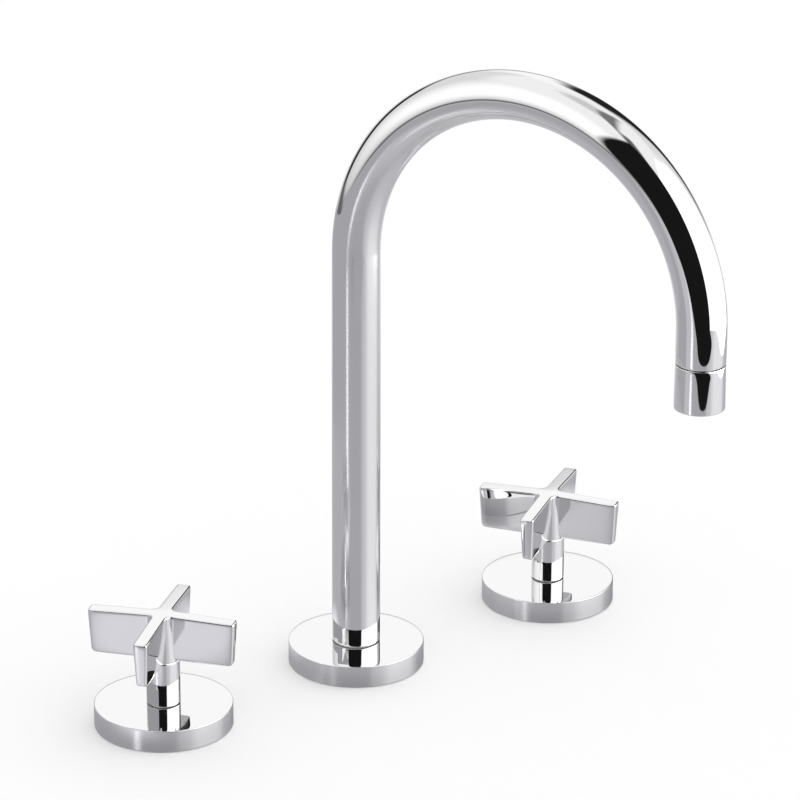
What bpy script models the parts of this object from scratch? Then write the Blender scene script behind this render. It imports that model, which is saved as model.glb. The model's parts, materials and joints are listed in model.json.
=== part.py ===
"""A widespread basin faucet: two cross handles and a high arched swivel spout, each through its own deck hole.

Lengths are in metres, +Z is up, and the top of the deck is at Z = 0. The origin is on the spout's axis.
X runs along the line of the three deck holes, with hot at -X and cold at +X, and -Y is towards the user.
"""

import math

import bmesh
import bpy
from mathutils import Matrix, Vector

# Clearances
RUNNING_GAP = 0.0003
SEATED_GAP = 0.0003
SEAM_GAP = 0.0004
CUT_OVERRUN = 0.0010
FUSE_OVERLAP = 0.0008

# Facets
VISIBLE_SEGMENTS = 32
HIDDEN_SEGMENTS = 18
SMALL_SEGMENTS = 12

# Layout over the deck
VALVE_SPREAD = 0.2032
HOT_CENTRE = 0.0988
COLD_CENTRE = VALVE_SPREAD - HOT_CENTRE
HOT_REST_TURN = math.radians(-52.5)
COLD_REST_TURN = math.radians(-58.0)
SPOUT_REST_TURN = math.radians(18.7)

# Deck
DECK_THICKNESS = 0.0200
DECK_HOLE_RADIUS = 0.0175
DECK_GRIP_WIDTH = 0.0040

# Flanges, the same disc at all three holes
FLANGE_RADIUS = 0.0283
FLANGE_HEIGHT = 0.0095
FLANGE_TOP_WALL = 0.0020
FLANGE_RIM_WALL = 0.0010
FLANGE_EDGE_BREAK = 0.0003
FLANGE_BOSS_WALL = 0.0022
FLANGE_FOOT_LIFT = 0.0003
FLANGE_SEAL_WIDTH = 0.0022
FLANGE_SEAL_HEIGHT = 0.0016

# Clamping hardware under each deck hole
GASKET_THICKNESS = 0.0025
WASHER_THICKNESS = 0.0016
VALVE_NUT_FLATS = 0.0360
VALVE_NUT_HEIGHT = 0.0080
SPOUT_NUT_FLATS = 0.0300
SPOUT_NUT_HEIGHT = 0.0080
NUT_CHAMFER = 0.0010

# Valve body
SHANK_RADIUS = 0.0140
SHANK_REACH = 0.0420
BARREL_RADIUS = 0.0125
BARREL_LENGTH = 0.0180
INLET_THREAD_RADIUS = 0.01045
INLET_THREAD_LENGTH = 0.0160
INLET_BORE_RADIUS = 0.0042
OUTLET_THREAD_RADIUS = 0.0080
OUTLET_REACH = 0.0300
OUTLET_BORE_RADIUS = 0.0042
OUTLET_DEPTH = 0.0520
RETURN_PASSAGE_RADIUS = 0.0020
COLLECTOR_DEPTH = 0.0014
THREAD_END_CHAMFER = 0.0008

# Clip and washer that hold the valve from above, inside its flange
TOP_WASHER_THICKNESS = 0.0010
TOP_WASHER_RADIUS = 0.0220
CLIP_THICKNESS = 0.0012
CLIP_RADIUS = 0.0175
CLIP_GROOVE_DEPTH = 0.0014
CLIP_MOUTH_ANGLE = math.radians(70)

# Ceramic cartridge
CARTRIDGE_RADIUS = 0.0100
CARTRIDGE_COLLAR_RADIUS = 0.0118
CARTRIDGE_COLLAR_HEIGHT = 0.0026
CARTRIDGE_WALL = 0.0017
CARTRIDGE_GUIDE_LENGTH = 0.0100
CARTRIDGE_WINDOW_WIDTH = 0.0070
CARTRIDGE_WINDOW_SILL = 0.0012
STEM_RADIUS = 0.0042
STEM_RING_THICKNESS = 0.0012
STEM_FOOT_THICKNESS = 0.0030
TONGUE_WIDTH = 0.0030
TONGUE_DEPTH = 0.0018
DISC_THICKNESS = 0.0035
PORT_INNER_RADIUS = 0.0020
PORT_OUTER_RADIUS = 0.0064
PORT_SPREAD = math.radians(64)
PORT_STEPS = 4
SEAT_SEAL_HEIGHT = 0.0040
SEAT_SEAL_PROUD = 0.0005
SEAT_SEAL_WALL = 0.0026

# Spline between stem and handle
SPLINE_TEETH = 16
SPLINE_TIP_RADIUS = 0.0040
SPLINE_DEPTH = 0.0005
SPLINE_LENGTH = 0.0140
SPLINE_TOOTH_SHARES = (0.0, 0.26, 0.5, 0.76)
STEM_SHOULDER_HEIGHT = 0.0130

# Glide ring between flange and handle
GLIDE_RADIUS = 0.0061
GLIDE_FOOT_RADIUS = 0.0078
GLIDE_FOOT_THICKNESS = 0.0008

# Cross handle
SLEEVE_RADIUS = 0.0069
SLEEVE_LENGTH = 0.0193
SLEEVE_EDGE_ROUND = 0.0004
SLEEVE_MOUTH_RADIUS = 0.0054
SLEEVE_MOUTH_DEPTH = 0.0036
HUB_SHOULDER_ROUND = 0.0007
HUB_FOOT_RADIUS = 0.0063
HUB_TOP_RADIUS = 0.0052
HUB_TOP_INSET = 0.0020
ARM_HEIGHT = 0.0190
ARM_REACH = 0.0309
ARM_FOOT_REACH = 0.0298
ARM_THICKNESS = 0.0062
ARM_FOOT_THICKNESS = 0.0043
ARM_CROWN = 0.0010
ARM_EDGE_ROUND = 0.0008
ARM_FOOT_ROUND = 0.0003
ARM_TIP_ROUND = 0.0008
ARM_ROOT_FILLET = 0.0030
ARM_ROOT_STEPS = 4
ARM_TIP_STEPS = 2
ARM_EDGE_STEPS = 2
SET_SCREW_RADIUS = 0.0020
SET_SCREW_RECESS = 0.0004
SET_SCREW_HEIGHT = 0.0205
SET_SCREW_SOCKET_RADIUS = 0.0010
SET_SCREW_SOCKET_DEPTH = 0.0010
SET_SCREW_TURN = math.radians(135)

# Spout tube
TUBE_RADIUS = 0.0100
TUBE_WALL = 0.0015
TUBE_LEG_TOP = 0.1817
TUBE_BEND_RADIUS = 0.0802
TUBE_BEND_ANGLE = math.radians(180)
TUBE_TAIL = 0.0133
TUBE_END_ROUND = 0.0005
TUBE_BEND_STEPS = 32
TUBE_SEGMENTS = 24
TUBE_BORE_SEGMENTS = 12

# Spout base
SPIGOT_GAP = 0.0004
SPIGOT_LENGTH = 0.0380
SPOUT_THREAD_RADIUS = 0.0104
SPOUT_THREAD_REACH = 0.0620
SPOUT_BORE_RADIUS = 0.0050
BASE_COLLAR_RADIUS = 0.0165
BASE_COLLAR_HEIGHT = 0.0028
BASE_GASKET_THICKNESS = 0.0009
SHOULDER_RADIUS = 0.0094
BUSH_THICKNESS = 0.0009
BUSH_FOOT_THICKNESS = 0.0008
LOWER_BUSH_LENGTH = 0.0070
UPPER_BUSH_LENGTH = 0.0070
BUSH_TOP_MARGIN = 0.0026
RING_THICKNESS = 0.0018
RING_GROOVE_DEPTH = 0.0019
RING_GROOVE_WIDTH = 0.0026
RING_SPACING = 0.0062
TRACK_DEPTH = 0.0013
TRACK_HEIGHT = 0.0036
TRACK_MARGIN = 0.0010
TRACK_STEPS = 14
SWIVEL_EACH_WAY = math.radians(60)
RETAINING_SCREW_RADIUS = 0.0015
RETAINING_SCREW_RECESS = 0.0003

# Inlet tee under the spout
TEE_RADIUS = 0.0140
TEE_SOCKET_DEPTH = 0.0120
TEE_SEAL_THICKNESS = 0.0015
TEE_LEDGE_DROP = 0.0072
TEE_FLOOR = 0.0030
TEE_REACH = 0.0320
TEE_THREAD_RADIUS = 0.0080
TEE_BORE_RADIUS = 0.0042

# Outlet ring and aerator
OUTLET_RING_RADIUS = 0.0101
OUTLET_RING_LENGTH = 0.0187
OUTLET_RING_ROUND = 0.0004
OUTLET_NECK_LENGTH = 0.0080
OUTLET_NECK_WALL = 0.0014
OUTLET_RING_WALL = 0.0012
OUTLET_CEILING = 0.0032
AERATOR_WASHER_THICKNESS = 0.0016
AERATOR_WASHER_WIDTH = 0.0020
AERATOR_SCREEN_THICKNESS = 0.0006
AERATOR_SCREEN_DOME = 0.0008
AERATOR_SCREEN_HOLE_RADIUS = 0.0007
AERATOR_SCREEN_ROWS_SHARES = ((0.0, 1), (0.4, 6))
AERATOR_RECESS = 0.0012
AERATOR_WALL = 0.0011
AERATOR_GRILLE_THICKNESS = 0.0012
AERATOR_GRILLE_PITCH = 0.0026
AERATOR_GRILLE_BAR = 0.0007

# Heights and radii that follow from the sizes above
SEAM_HEIGHT = FLANGE_HEIGHT + SEAM_GAP
CEILING_HEIGHT = FLANGE_HEIGHT - FLANGE_TOP_WALL
GLIDE_FOOT_BASE = CEILING_HEIGHT - SEATED_GAP - GLIDE_FOOT_THICKNESS
VALVE_TOP = GLIDE_FOOT_BASE - SEATED_GAP
COLLAR_BASE = VALVE_TOP - CARTRIDGE_COLLAR_HEIGHT
TOP_WASHER_TOP = TOP_WASHER_THICKNESS
CLIP_BASE = TOP_WASHER_TOP + SEATED_GAP
CLIP_TOP = CLIP_BASE + CLIP_THICKNESS
BOSS_BASE = CLIP_TOP + 2 * SEATED_GAP
GASKET_TOP = -DECK_THICKNESS
WASHER_TOP = GASKET_TOP - GASKET_THICKNESS - SEATED_GAP
NUT_TOP = WASHER_TOP - WASHER_THICKNESS - SEATED_GAP
CHAMBER_ROOF = COLLAR_BASE + CARTRIDGE_COLLAR_HEIGHT - CARTRIDGE_GUIDE_LENGTH
CHAMBER_RADIUS = CARTRIDGE_RADIUS - CARTRIDGE_WALL
DISC_RADIUS = CHAMBER_RADIUS - RUNNING_GAP
STEM_FOOT_TOP = CHAMBER_ROOF - RUNNING_GAP
STEM_FOOT_BASE = STEM_FOOT_TOP - STEM_FOOT_THICKNESS
ROTOR_TOP = STEM_FOOT_BASE - RUNNING_GAP
STATOR_TOP = ROTOR_TOP - DISC_THICKNESS - RUNNING_GAP
SEAT_SEAL_TOP = STATOR_TOP - DISC_THICKNESS - SEATED_GAP
SEAT_SEAL_BASE = SEAT_SEAL_TOP - SEAT_SEAL_HEIGHT
CARTRIDGE_BASE = SEAT_SEAL_BASE + SEAT_SEAL_PROUD
VALVE_SEAT = SEAT_SEAL_BASE - SEATED_GAP
SPLINE_TOP = STEM_SHOULDER_HEIGHT + SPLINE_LENGTH
ARM_FOOT = SEAM_HEIGHT + SLEEVE_LENGTH
HANDLE_TOP = ARM_FOOT + ARM_HEIGHT + ARM_CROWN
TUBE_BORE_RADIUS = TUBE_RADIUS - TUBE_WALL
SPIGOT_RADIUS = TUBE_BORE_RADIUS - SPIGOT_GAP
BUSH_OUTER_RADIUS = TUBE_BORE_RADIUS - RUNNING_GAP
BUSH_INNER_RADIUS = BUSH_OUTER_RADIUS - BUSH_THICKNESS
BUSH_ROOT_RADIUS = BUSH_INNER_RADIUS - SEATED_GAP
BUSH_FOOT_BASE = SEAM_HEIGHT - RUNNING_GAP - BUSH_FOOT_THICKNESS
SHOULDER_TOP = BUSH_FOOT_BASE - SEATED_GAP
LOWER_BUSH_TOP = BUSH_FOOT_BASE + LOWER_BUSH_LENGTH
TRACK_BASE = LOWER_BUSH_TOP + SEATED_GAP + TRACK_MARGIN
TRACK_CENTRE = TRACK_BASE + TRACK_HEIGHT / 2
LOWER_RING_HEIGHT = TRACK_BASE + TRACK_HEIGHT + TRACK_MARGIN + RING_GROOVE_WIDTH / 2
UPPER_RING_HEIGHT = LOWER_RING_HEIGHT + RING_SPACING
SPIGOT_TOP = SHOULDER_TOP + SPIGOT_LENGTH
UPPER_BUSH_TOP = SPIGOT_TOP - BUSH_TOP_MARGIN
UPPER_BUSH_BASE = UPPER_BUSH_TOP - UPPER_BUSH_LENGTH
COLLAR_UNDERSIDE = BASE_GASKET_THICKNESS + SEATED_GAP
SPOUT_FOOT = -SPOUT_THREAD_REACH
TEE_SEAL_TOP = SPOUT_FOOT - SEATED_GAP
TEE_LEDGE = TEE_SEAL_TOP - TEE_SEAL_THICKNESS - SEATED_GAP
TEE_AXIS_HEIGHT = TEE_LEDGE - TEE_LEDGE_DROP
TEE_BASE = TEE_AXIS_HEIGHT - TEE_THREAD_RADIUS - TEE_FLOOR
OUTLET_HEIGHT = TUBE_LEG_TOP - TUBE_TAIL
OUTLET_FORWARD = 2 * TUBE_BEND_RADIUS
AERATOR_SPACE_RADIUS = OUTLET_RING_RADIUS - OUTLET_RING_WALL
AERATOR_RADIUS = AERATOR_SPACE_RADIUS - SEATED_GAP
AERATOR_WASHER_TOP = -OUTLET_CEILING - SEATED_GAP
AERATOR_SCREEN_TOP = AERATOR_WASHER_TOP - AERATOR_WASHER_THICKNESS - SEATED_GAP
AERATOR_TOP = AERATOR_SCREEN_TOP - AERATOR_SCREEN_DOME - AERATOR_SCREEN_THICKNESS - SEATED_GAP
AERATOR_BASE = AERATOR_RECESS - OUTLET_RING_LENGTH

MERGE_DISTANCE = 1e-7
SMOOTH_ANGLE = math.radians(32)
FULL_TURN = 2 * math.pi


def clear_scene():
    for obj in list(bpy.data.objects):
        bpy.data.objects.remove(obj, do_unlink=True)


def finish(name, colour, roughness, metallic):
    """A plain material with the colour, roughness and metallic value given."""
    material = bpy.data.materials.new(name)
    material.use_nodes = True
    shader = material.node_tree.nodes["Principled BSDF"]
    shader.inputs["Base Color"].default_value = (*colour, 1.0)
    shader.inputs["Roughness"].default_value = roughness
    shader.inputs["Metallic"].default_value = metallic
    return material


def axis_empty(name, location, turn, parent=None):
    """An empty on a deck hole's axis or a joint's axis, turned about Z."""
    empty = bpy.data.objects.new(name, None)
    empty.location = location
    empty.rotation_euler = (0.0, 0.0, turn)
    empty.parent = parent
    bpy.context.collection.objects.link(empty)
    return empty


def piece(name, mesh_builder, axis, material):
    """An object of the finished bmesh, on the axis that carries it."""
    bmesh.ops.remove_doubles(mesh_builder, verts=mesh_builder.verts, dist=MERGE_DISTANCE)
    bmesh.ops.recalc_face_normals(mesh_builder, faces=mesh_builder.faces)
    mesh = bpy.data.meshes.new(name)
    mesh_builder.to_mesh(mesh)
    mesh_builder.free()
    mesh.shade_smooth()
    mesh.set_sharp_from_angle(angle=SMOOTH_ANGLE)
    mesh.materials.append(material)
    obj = bpy.data.objects.new(name, mesh)
    obj.parent = axis
    bpy.context.collection.objects.link(obj)
    return obj


def helper(name, mesh_builder, axis, material):
    """A shape that only cuts or joins another piece."""
    obj = piece(name, mesh_builder, axis, material)
    obj.hide_render = True
    obj.display_type = "WIRE"
    return obj


def combine(target, other, operation):
    modifier = target.modifiers.new(other.name, "BOOLEAN")
    modifier.object = other
    modifier.operation = operation
    modifier.solver = "EXACT"


def cut(target, other):
    combine(target, other, "DIFFERENCE")


def fuse(target, other):
    combine(target, other, "UNION")


def turned(profile, segments):
    """A shape turned about Z from (radius, height) points.

    The profile closes on itself where it stays off the axis, and otherwise starts and ends on it.
    """
    builder = bmesh.new()
    points = [builder.verts.new((radius, 0.0, height)) for radius, height in profile]
    edges = [builder.edges.new(pair) for pair in zip(points, points[1:])]
    if min(radius for radius, _ in profile) > 0.0:
        edges.append(builder.edges.new((points[-1], points[0])))
    bmesh.ops.spin(
        builder,
        geom=points + edges,
        cent=(0.0, 0.0, 0.0),
        axis=(0.0, 0.0, 1.0),
        dvec=(0.0, 0.0, 0.0),
        angle=FULL_TURN,
        steps=segments,
        use_merge=True,
    )
    return builder


def ring_profile(inner, outer, base, top):
    return [(inner, base), (outer, base), (outer, top), (inner, top)]


def rod(radius, start, end, segments):
    """A solid cylinder from one point to another."""
    start, end = Vector(start), Vector(end)
    along = end - start
    turn = along.to_track_quat("Z", "Y").to_matrix().to_4x4()
    builder = bmesh.new()
    bmesh.ops.create_cone(
        builder,
        cap_ends=True,
        segments=segments,
        radius1=radius,
        radius2=radius,
        depth=along.length,
        matrix=Matrix.Translation((start + end) / 2) @ turn,
    )
    return builder


def block(low, high):
    """A box between two corners."""
    low, high = Vector(low), Vector(high)
    builder = bmesh.new()
    size = Matrix.Diagonal((*(high - low), 1.0))
    bmesh.ops.create_cube(builder, size=1.0, matrix=Matrix.Translation((low + high) / 2) @ size)
    return builder


def prism(outline, base, top):
    """A flat outline carried straight up from one height to another."""
    return lofted([[(x, y, base) for x, y in outline], [(x, y, top) for x, y in outline]])


def lofted(rings):
    """A closed skin through rings of as many points each, with a flat cap on both ends."""
    builder = bmesh.new()
    loops = [[builder.verts.new(point) for point in ring] for ring in rings]
    for low, high in zip(loops, loops[1:]):
        skin(builder, low, high)
    builder.faces.new(reversed(loops[0]))
    builder.faces.new(loops[-1])
    return builder


def skin(builder, low, high):
    """Quads between two rings of as many points."""
    count = len(low)
    for index in range(count):
        after = (index + 1) % count
        builder.faces.new((low[index], low[after], high[after], high[index]))


def arc(centre_x, centre_y, radius, first, last, steps):
    """Points along a circular arc, both ends included."""
    points = []
    for step in range(steps + 1):
        angle = first + (last - first) * step / steps
        points.append((centre_x + radius * math.cos(angle), centre_y + radius * math.sin(angle)))
    return points


def sector(inner, outer, middle, spread, steps):
    """The outline of a part of a ring, centred on one angle."""
    first, last = middle - spread / 2, middle + spread / 2
    return arc(0.0, 0.0, outer, first, last, steps) + arc(0.0, 0.0, inner, last, first, steps)


def flange(name, hole_radius, boss_bore_radius, boss_base, axis, material):
    """A deck flange: a disc open below, with a threaded boss inside and a rebate for its seal."""
    rebate_radius = FLANGE_RADIUS - FLANGE_RIM_WALL
    rebate_top = FLANGE_SEAL_HEIGHT + SEATED_GAP
    inside_radius = rebate_radius - FLANGE_SEAL_WIDTH - 2 * SEATED_GAP
    profile = [
        (FLANGE_RADIUS, FLANGE_FOOT_LIFT),
        (FLANGE_RADIUS, FLANGE_HEIGHT - FLANGE_EDGE_BREAK),
        (FLANGE_RADIUS - FLANGE_EDGE_BREAK, FLANGE_HEIGHT),
        (hole_radius, FLANGE_HEIGHT),
        (hole_radius, CEILING_HEIGHT),
        (boss_bore_radius, CEILING_HEIGHT),
        (boss_bore_radius, boss_base),
        (boss_bore_radius + FLANGE_BOSS_WALL, boss_base),
        (boss_bore_radius + FLANGE_BOSS_WALL, CEILING_HEIGHT),
        (inside_radius, CEILING_HEIGHT),
        (inside_radius, rebate_top),
        (rebate_radius, rebate_top),
        (rebate_radius, FLANGE_FOOT_LIFT),
    ]
    return piece(name, turned(profile, VISIBLE_SEGMENTS), axis, material)


def flange_seal(name, axis, material):
    outer = FLANGE_RADIUS - FLANGE_RIM_WALL - SEATED_GAP
    profile = ring_profile(outer - FLANGE_SEAL_WIDTH, outer, 0.0, FLANGE_SEAL_HEIGHT)
    return piece(name, turned(profile, VISIBLE_SEGMENTS), axis, material)


def flat_washer(name, inner, outer, top, thickness, axis, material):
    profile = ring_profile(inner, outer, top - thickness, top)
    return piece(name, turned(profile, HIDDEN_SEGMENTS), axis, material)


def hexagon(flats):
    """The outline of a hexagon, by the distance across its flats."""
    corner = flats / math.sqrt(3)
    return arc(0.0, 0.0, corner, 0.0, FULL_TURN * 5 / 6, 5)


def hex_nut(name, flats, bore_radius, height, axis, material):
    """A nut whose top is under the washer, chamfered at its lower corners."""
    base = NUT_TOP - height
    rings = []
    for size, level in ((flats - 2 * NUT_CHAMFER, base), (flats, base + NUT_CHAMFER), (flats, NUT_TOP)):
        rings.append([(x, y, level) for x, y in hexagon(size)])
    nut = piece(name, lofted(rings), axis, material)
    hole = rod(bore_radius, (0, 0, base - CUT_OVERRUN), (0, 0, NUT_TOP + CUT_OVERRUN), HIDDEN_SEGMENTS)
    cut(nut, helper(name + "_bore", hole, axis, material))
    return nut


def clamp_set(side, thread_radius, flats, height, axis, metals):
    """Gasket, washer and nut that draw a threaded shank down against the underside of the deck."""
    bore = thread_radius + RUNNING_GAP
    outer = DECK_HOLE_RADIUS + DECK_GRIP_WIDTH
    flat_washer(side + "_deck_gasket", bore, outer, GASKET_TOP, GASKET_THICKNESS, axis, metals["rubber"])
    flat_washer(side + "_mounting_washer", bore, outer, WASHER_TOP, WASHER_THICKNESS, axis, metals["steel"])
    hex_nut(side + "_mounting_nut", flats, bore, height, axis, metals["brass"])


def valve_outer_profile():
    """The outside of the valve body, from its top down to the supply inlet."""
    groove_radius = SHANK_RADIUS - CLIP_GROOVE_DEPTH
    barrel_base = -SHANK_REACH - BARREL_LENGTH
    inlet_base = barrel_base - INLET_THREAD_LENGTH
    return [
        (0.0, VALVE_TOP),
        (SHANK_RADIUS, VALVE_TOP),
        (SHANK_RADIUS, CLIP_TOP + SEATED_GAP),
        (groove_radius, CLIP_TOP + SEATED_GAP),
        (groove_radius, CLIP_BASE - SEATED_GAP),
        (SHANK_RADIUS, CLIP_BASE - SEATED_GAP),
        (SHANK_RADIUS, -SHANK_REACH),
        (BARREL_RADIUS, -SHANK_REACH - (SHANK_RADIUS - BARREL_RADIUS)),
        (BARREL_RADIUS, barrel_base),
        (INLET_THREAD_RADIUS, barrel_base),
        (INLET_THREAD_RADIUS, inlet_base + THREAD_END_CHAMFER),
        (INLET_THREAD_RADIUS - THREAD_END_CHAMFER, inlet_base),
        (0.0, inlet_base),
    ]


def valve_bore_profile():
    """The room for the cartridge, the chamber round its windows and the inlet passage below the seat."""
    bore = CARTRIDGE_RADIUS + SEATED_GAP
    inlet_base = -SHANK_REACH - BARREL_LENGTH - INLET_THREAD_LENGTH
    return [
        (0.0, VALVE_TOP + CUT_OVERRUN),
        (CARTRIDGE_COLLAR_RADIUS + SEATED_GAP, VALVE_TOP + CUT_OVERRUN),
        (CARTRIDGE_COLLAR_RADIUS + SEATED_GAP, COLLAR_BASE - SEATED_GAP),
        (bore, COLLAR_BASE - SEATED_GAP),
        (bore, CHAMBER_ROOF),
        (bore + COLLECTOR_DEPTH, CHAMBER_ROOF - COLLECTOR_DEPTH),
        (bore + COLLECTOR_DEPTH, STATOR_TOP - DISC_THICKNESS + COLLECTOR_DEPTH),
        (bore, STATOR_TOP - DISC_THICKNESS),
        (bore, VALVE_SEAT),
        (INLET_BORE_RADIUS, VALVE_SEAT),
        (INLET_BORE_RADIUS, inlet_base - CUT_OVERRUN),
        (0.0, inlet_base - CUT_OVERRUN),
    ]


def valve_body(side, axis, material):
    """The brass body: threaded shank, cartridge room, supply inlet below and outlet towards the spout."""
    name = side + "_valve_body"
    body = piece(name, turned(valve_outer_profile(), HIDDEN_SEGMENTS), axis, material)
    stub = rod(OUTLET_THREAD_RADIUS, (0, 0, -OUTLET_DEPTH), (OUTLET_REACH, 0, -OUTLET_DEPTH), HIDDEN_SEGMENTS)
    fuse(body, helper(name + "_outlet", stub, axis, material))
    cut(body, helper(name + "_bore", turned(valve_bore_profile(), HIDDEN_SEGMENTS), axis, material))
    return_x = CARTRIDGE_RADIUS + SEATED_GAP + COLLECTOR_DEPTH - RETURN_PASSAGE_RADIUS
    passage_top = STATOR_TOP - DISC_THICKNESS / 2
    passage = rod(
        RETURN_PASSAGE_RADIUS,
        (return_x, 0, passage_top),
        (return_x, 0, -OUTLET_DEPTH),
        SMALL_SEGMENTS,
    )
    cut(body, helper(name + "_return", passage, axis, material))
    outlet = rod(
        OUTLET_BORE_RADIUS,
        (return_x - RETURN_PASSAGE_RADIUS, 0, -OUTLET_DEPTH),
        (OUTLET_REACH + CUT_OVERRUN, 0, -OUTLET_DEPTH),
        SMALL_SEGMENTS,
    )
    cut(body, helper(name + "_outlet_bore", outlet, axis, material))
    return body


def retaining_clip(side, axis, material):
    """The open ring in the body's groove, which bears on the washer over the deck."""
    inner = SHANK_RADIUS - CLIP_GROOVE_DEPTH + SEATED_GAP
    name = side + "_retaining_clip"
    clip = piece(name, turned(ring_profile(inner, CLIP_RADIUS, CLIP_BASE, CLIP_TOP), HIDDEN_SEGMENTS), axis, material)
    half = CLIP_MOUTH_ANGLE / 2
    reach = CLIP_RADIUS + CUT_OVERRUN
    mouth = [(0.0, 0.0), (reach, -reach * math.tan(half)), (reach, reach * math.tan(half))]
    wedge = prism(mouth, CLIP_BASE - CUT_OVERRUN, CLIP_TOP + CUT_OVERRUN)
    cut(clip, helper(name + "_mouth", wedge, axis, material))
    return clip


def cartridge_body(side, axis, material):
    """The cartridge's shell, with a collar on top, a guide for the stem and a window on each side."""
    guide = STEM_RADIUS + RUNNING_GAP
    profile = [
        (guide, VALVE_TOP),
        (CARTRIDGE_COLLAR_RADIUS, VALVE_TOP),
        (CARTRIDGE_COLLAR_RADIUS, COLLAR_BASE),
        (CARTRIDGE_RADIUS, COLLAR_BASE),
        (CARTRIDGE_RADIUS, CARTRIDGE_BASE),
        (CHAMBER_RADIUS, CARTRIDGE_BASE),
        (CHAMBER_RADIUS, CHAMBER_ROOF),
        (guide, CHAMBER_ROOF),
    ]
    name = side + "_cartridge_body"
    shell = piece(name, turned(profile, HIDDEN_SEGMENTS), axis, material)
    reach = CARTRIDGE_RADIUS + CUT_OVERRUN
    window = block(
        (-CARTRIDGE_WINDOW_WIDTH / 2, -reach, ROTOR_TOP - DISC_THICKNESS + CARTRIDGE_WINDOW_SILL),
        (CARTRIDGE_WINDOW_WIDTH / 2, reach, CHAMBER_ROOF - CARTRIDGE_WINDOW_SILL),
    )
    cut(shell, helper(name + "_windows", window, axis, material))
    return shell


def spline_outline(growth):
    """The outline of the spline's teeth, grown outwards by a clearance."""
    points = []
    for tooth in range(SPLINE_TEETH):
        for index, share in enumerate(SPLINE_TOOTH_SHARES):
            angle = FULL_TURN * (tooth + share) / SPLINE_TEETH
            on_tip = index >= len(SPLINE_TOOTH_SHARES) / 2
            radius = SPLINE_TIP_RADIUS + growth - (0.0 if on_tip else SPLINE_DEPTH)
            points.append((radius * math.cos(angle), radius * math.sin(angle)))
    return points


def cartridge_stem(side, axis, material):
    """The stem: a splined head, a groove for its ring, and a foot whose tongue turns the rotor disc."""
    groove_radius = STEM_RADIUS - STEM_RING_THICKNESS
    groove_half = STEM_RING_THICKNESS / 2 + SEATED_GAP
    groove_height = stem_ring_height()
    profile = [
        (0.0, STEM_SHOULDER_HEIGHT),
        (STEM_RADIUS, STEM_SHOULDER_HEIGHT),
        (STEM_RADIUS, groove_height + groove_half),
        (groove_radius, groove_height + groove_half),
        (groove_radius, groove_height - groove_half),
        (STEM_RADIUS, groove_height - groove_half),
        (STEM_RADIUS, STEM_FOOT_TOP),
        (DISC_RADIUS, STEM_FOOT_TOP),
        (DISC_RADIUS, STEM_FOOT_BASE),
        (0.0, STEM_FOOT_BASE),
    ]
    name = side + "_cartridge_stem"
    stem = piece(name, turned(profile, HIDDEN_SEGMENTS), axis, material)
    teeth = prism(spline_outline(0.0), STEM_SHOULDER_HEIGHT - FUSE_OVERLAP, SPLINE_TOP)
    fuse(stem, helper(name + "_spline", teeth, axis, material))
    fuse(stem, helper(name + "_tongue", tongue(0.0), axis, material))
    return stem


def stem_ring_height():
    """The middle of the stem ring's groove, half way along the guide."""
    return (VALVE_TOP + CHAMBER_ROOF) / 2


def tongue(growth):
    """The tongue under the stem's foot, or its slot in the rotor disc when grown by a clearance."""
    half_width = TONGUE_WIDTH / 2 + growth
    half_length = DISC_RADIUS - TONGUE_WIDTH / 2 + growth
    top = STEM_FOOT_BASE + FUSE_OVERLAP
    base = STEM_FOOT_BASE - TONGUE_DEPTH - growth
    return block((-half_length, -half_width, base), (half_length, half_width, top))


def ring_of_round_section(middle_radius, thickness, height, segments):
    """A rubber ring of round section."""
    section = arc(middle_radius, height, thickness / 2, 0.0, FULL_TURN * 5 / 6, 5)
    return turned(section, segments)


def stem_ring(side, axis, material):
    middle = STEM_RADIUS + RUNNING_GAP / 2 - STEM_RING_THICKNESS / 2
    ring = ring_of_round_section(middle, STEM_RING_THICKNESS, stem_ring_height(), HIDDEN_SEGMENTS)
    return piece(side + "_stem_ring", ring, axis, material)


def disc_port(middle, top):
    """A sector that runs through a ceramic disc, from over its top."""
    outline = sector(PORT_INNER_RADIUS, PORT_OUTER_RADIUS, middle, PORT_SPREAD, PORT_STEPS)
    return prism(outline, top - DISC_THICKNESS - CUT_OVERRUN, top + CUT_OVERRUN)


def ceramic_disc(name, top, port_turn, axis, material):
    """A ceramic disc with two opposite ports."""
    profile = [(0.0, top), (DISC_RADIUS, top), (DISC_RADIUS, top - DISC_THICKNESS), (0.0, top - DISC_THICKNESS)]
    disc = piece(name, turned(profile, HIDDEN_SEGMENTS), axis, material)
    for number, turn in enumerate((port_turn, port_turn + math.pi)):
        cut(disc, helper(f"{name}_port_{number}", disc_port(turn, top), axis, material))
    return disc


def rotor_disc(side, rest_turn, axis, material):
    """The disc that turns with the stem. Its ports stand square to the fixed ones while the tap is shut."""
    rotor = ceramic_disc(side + "_rotor_disc", ROTOR_TOP, math.pi / 2 - rest_turn, axis, material)
    cut(rotor, helper(rotor.name + "_slot", tongue(RUNNING_GAP), axis, material))
    return rotor


def seat_seal(side, axis, material):
    profile = ring_profile(DISC_RADIUS - SEAT_SEAL_WALL, DISC_RADIUS, SEAT_SEAL_BASE, SEAT_SEAL_TOP)
    return piece(side + "_seat_seal", turned(profile, HIDDEN_SEGMENTS), axis, material)


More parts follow.
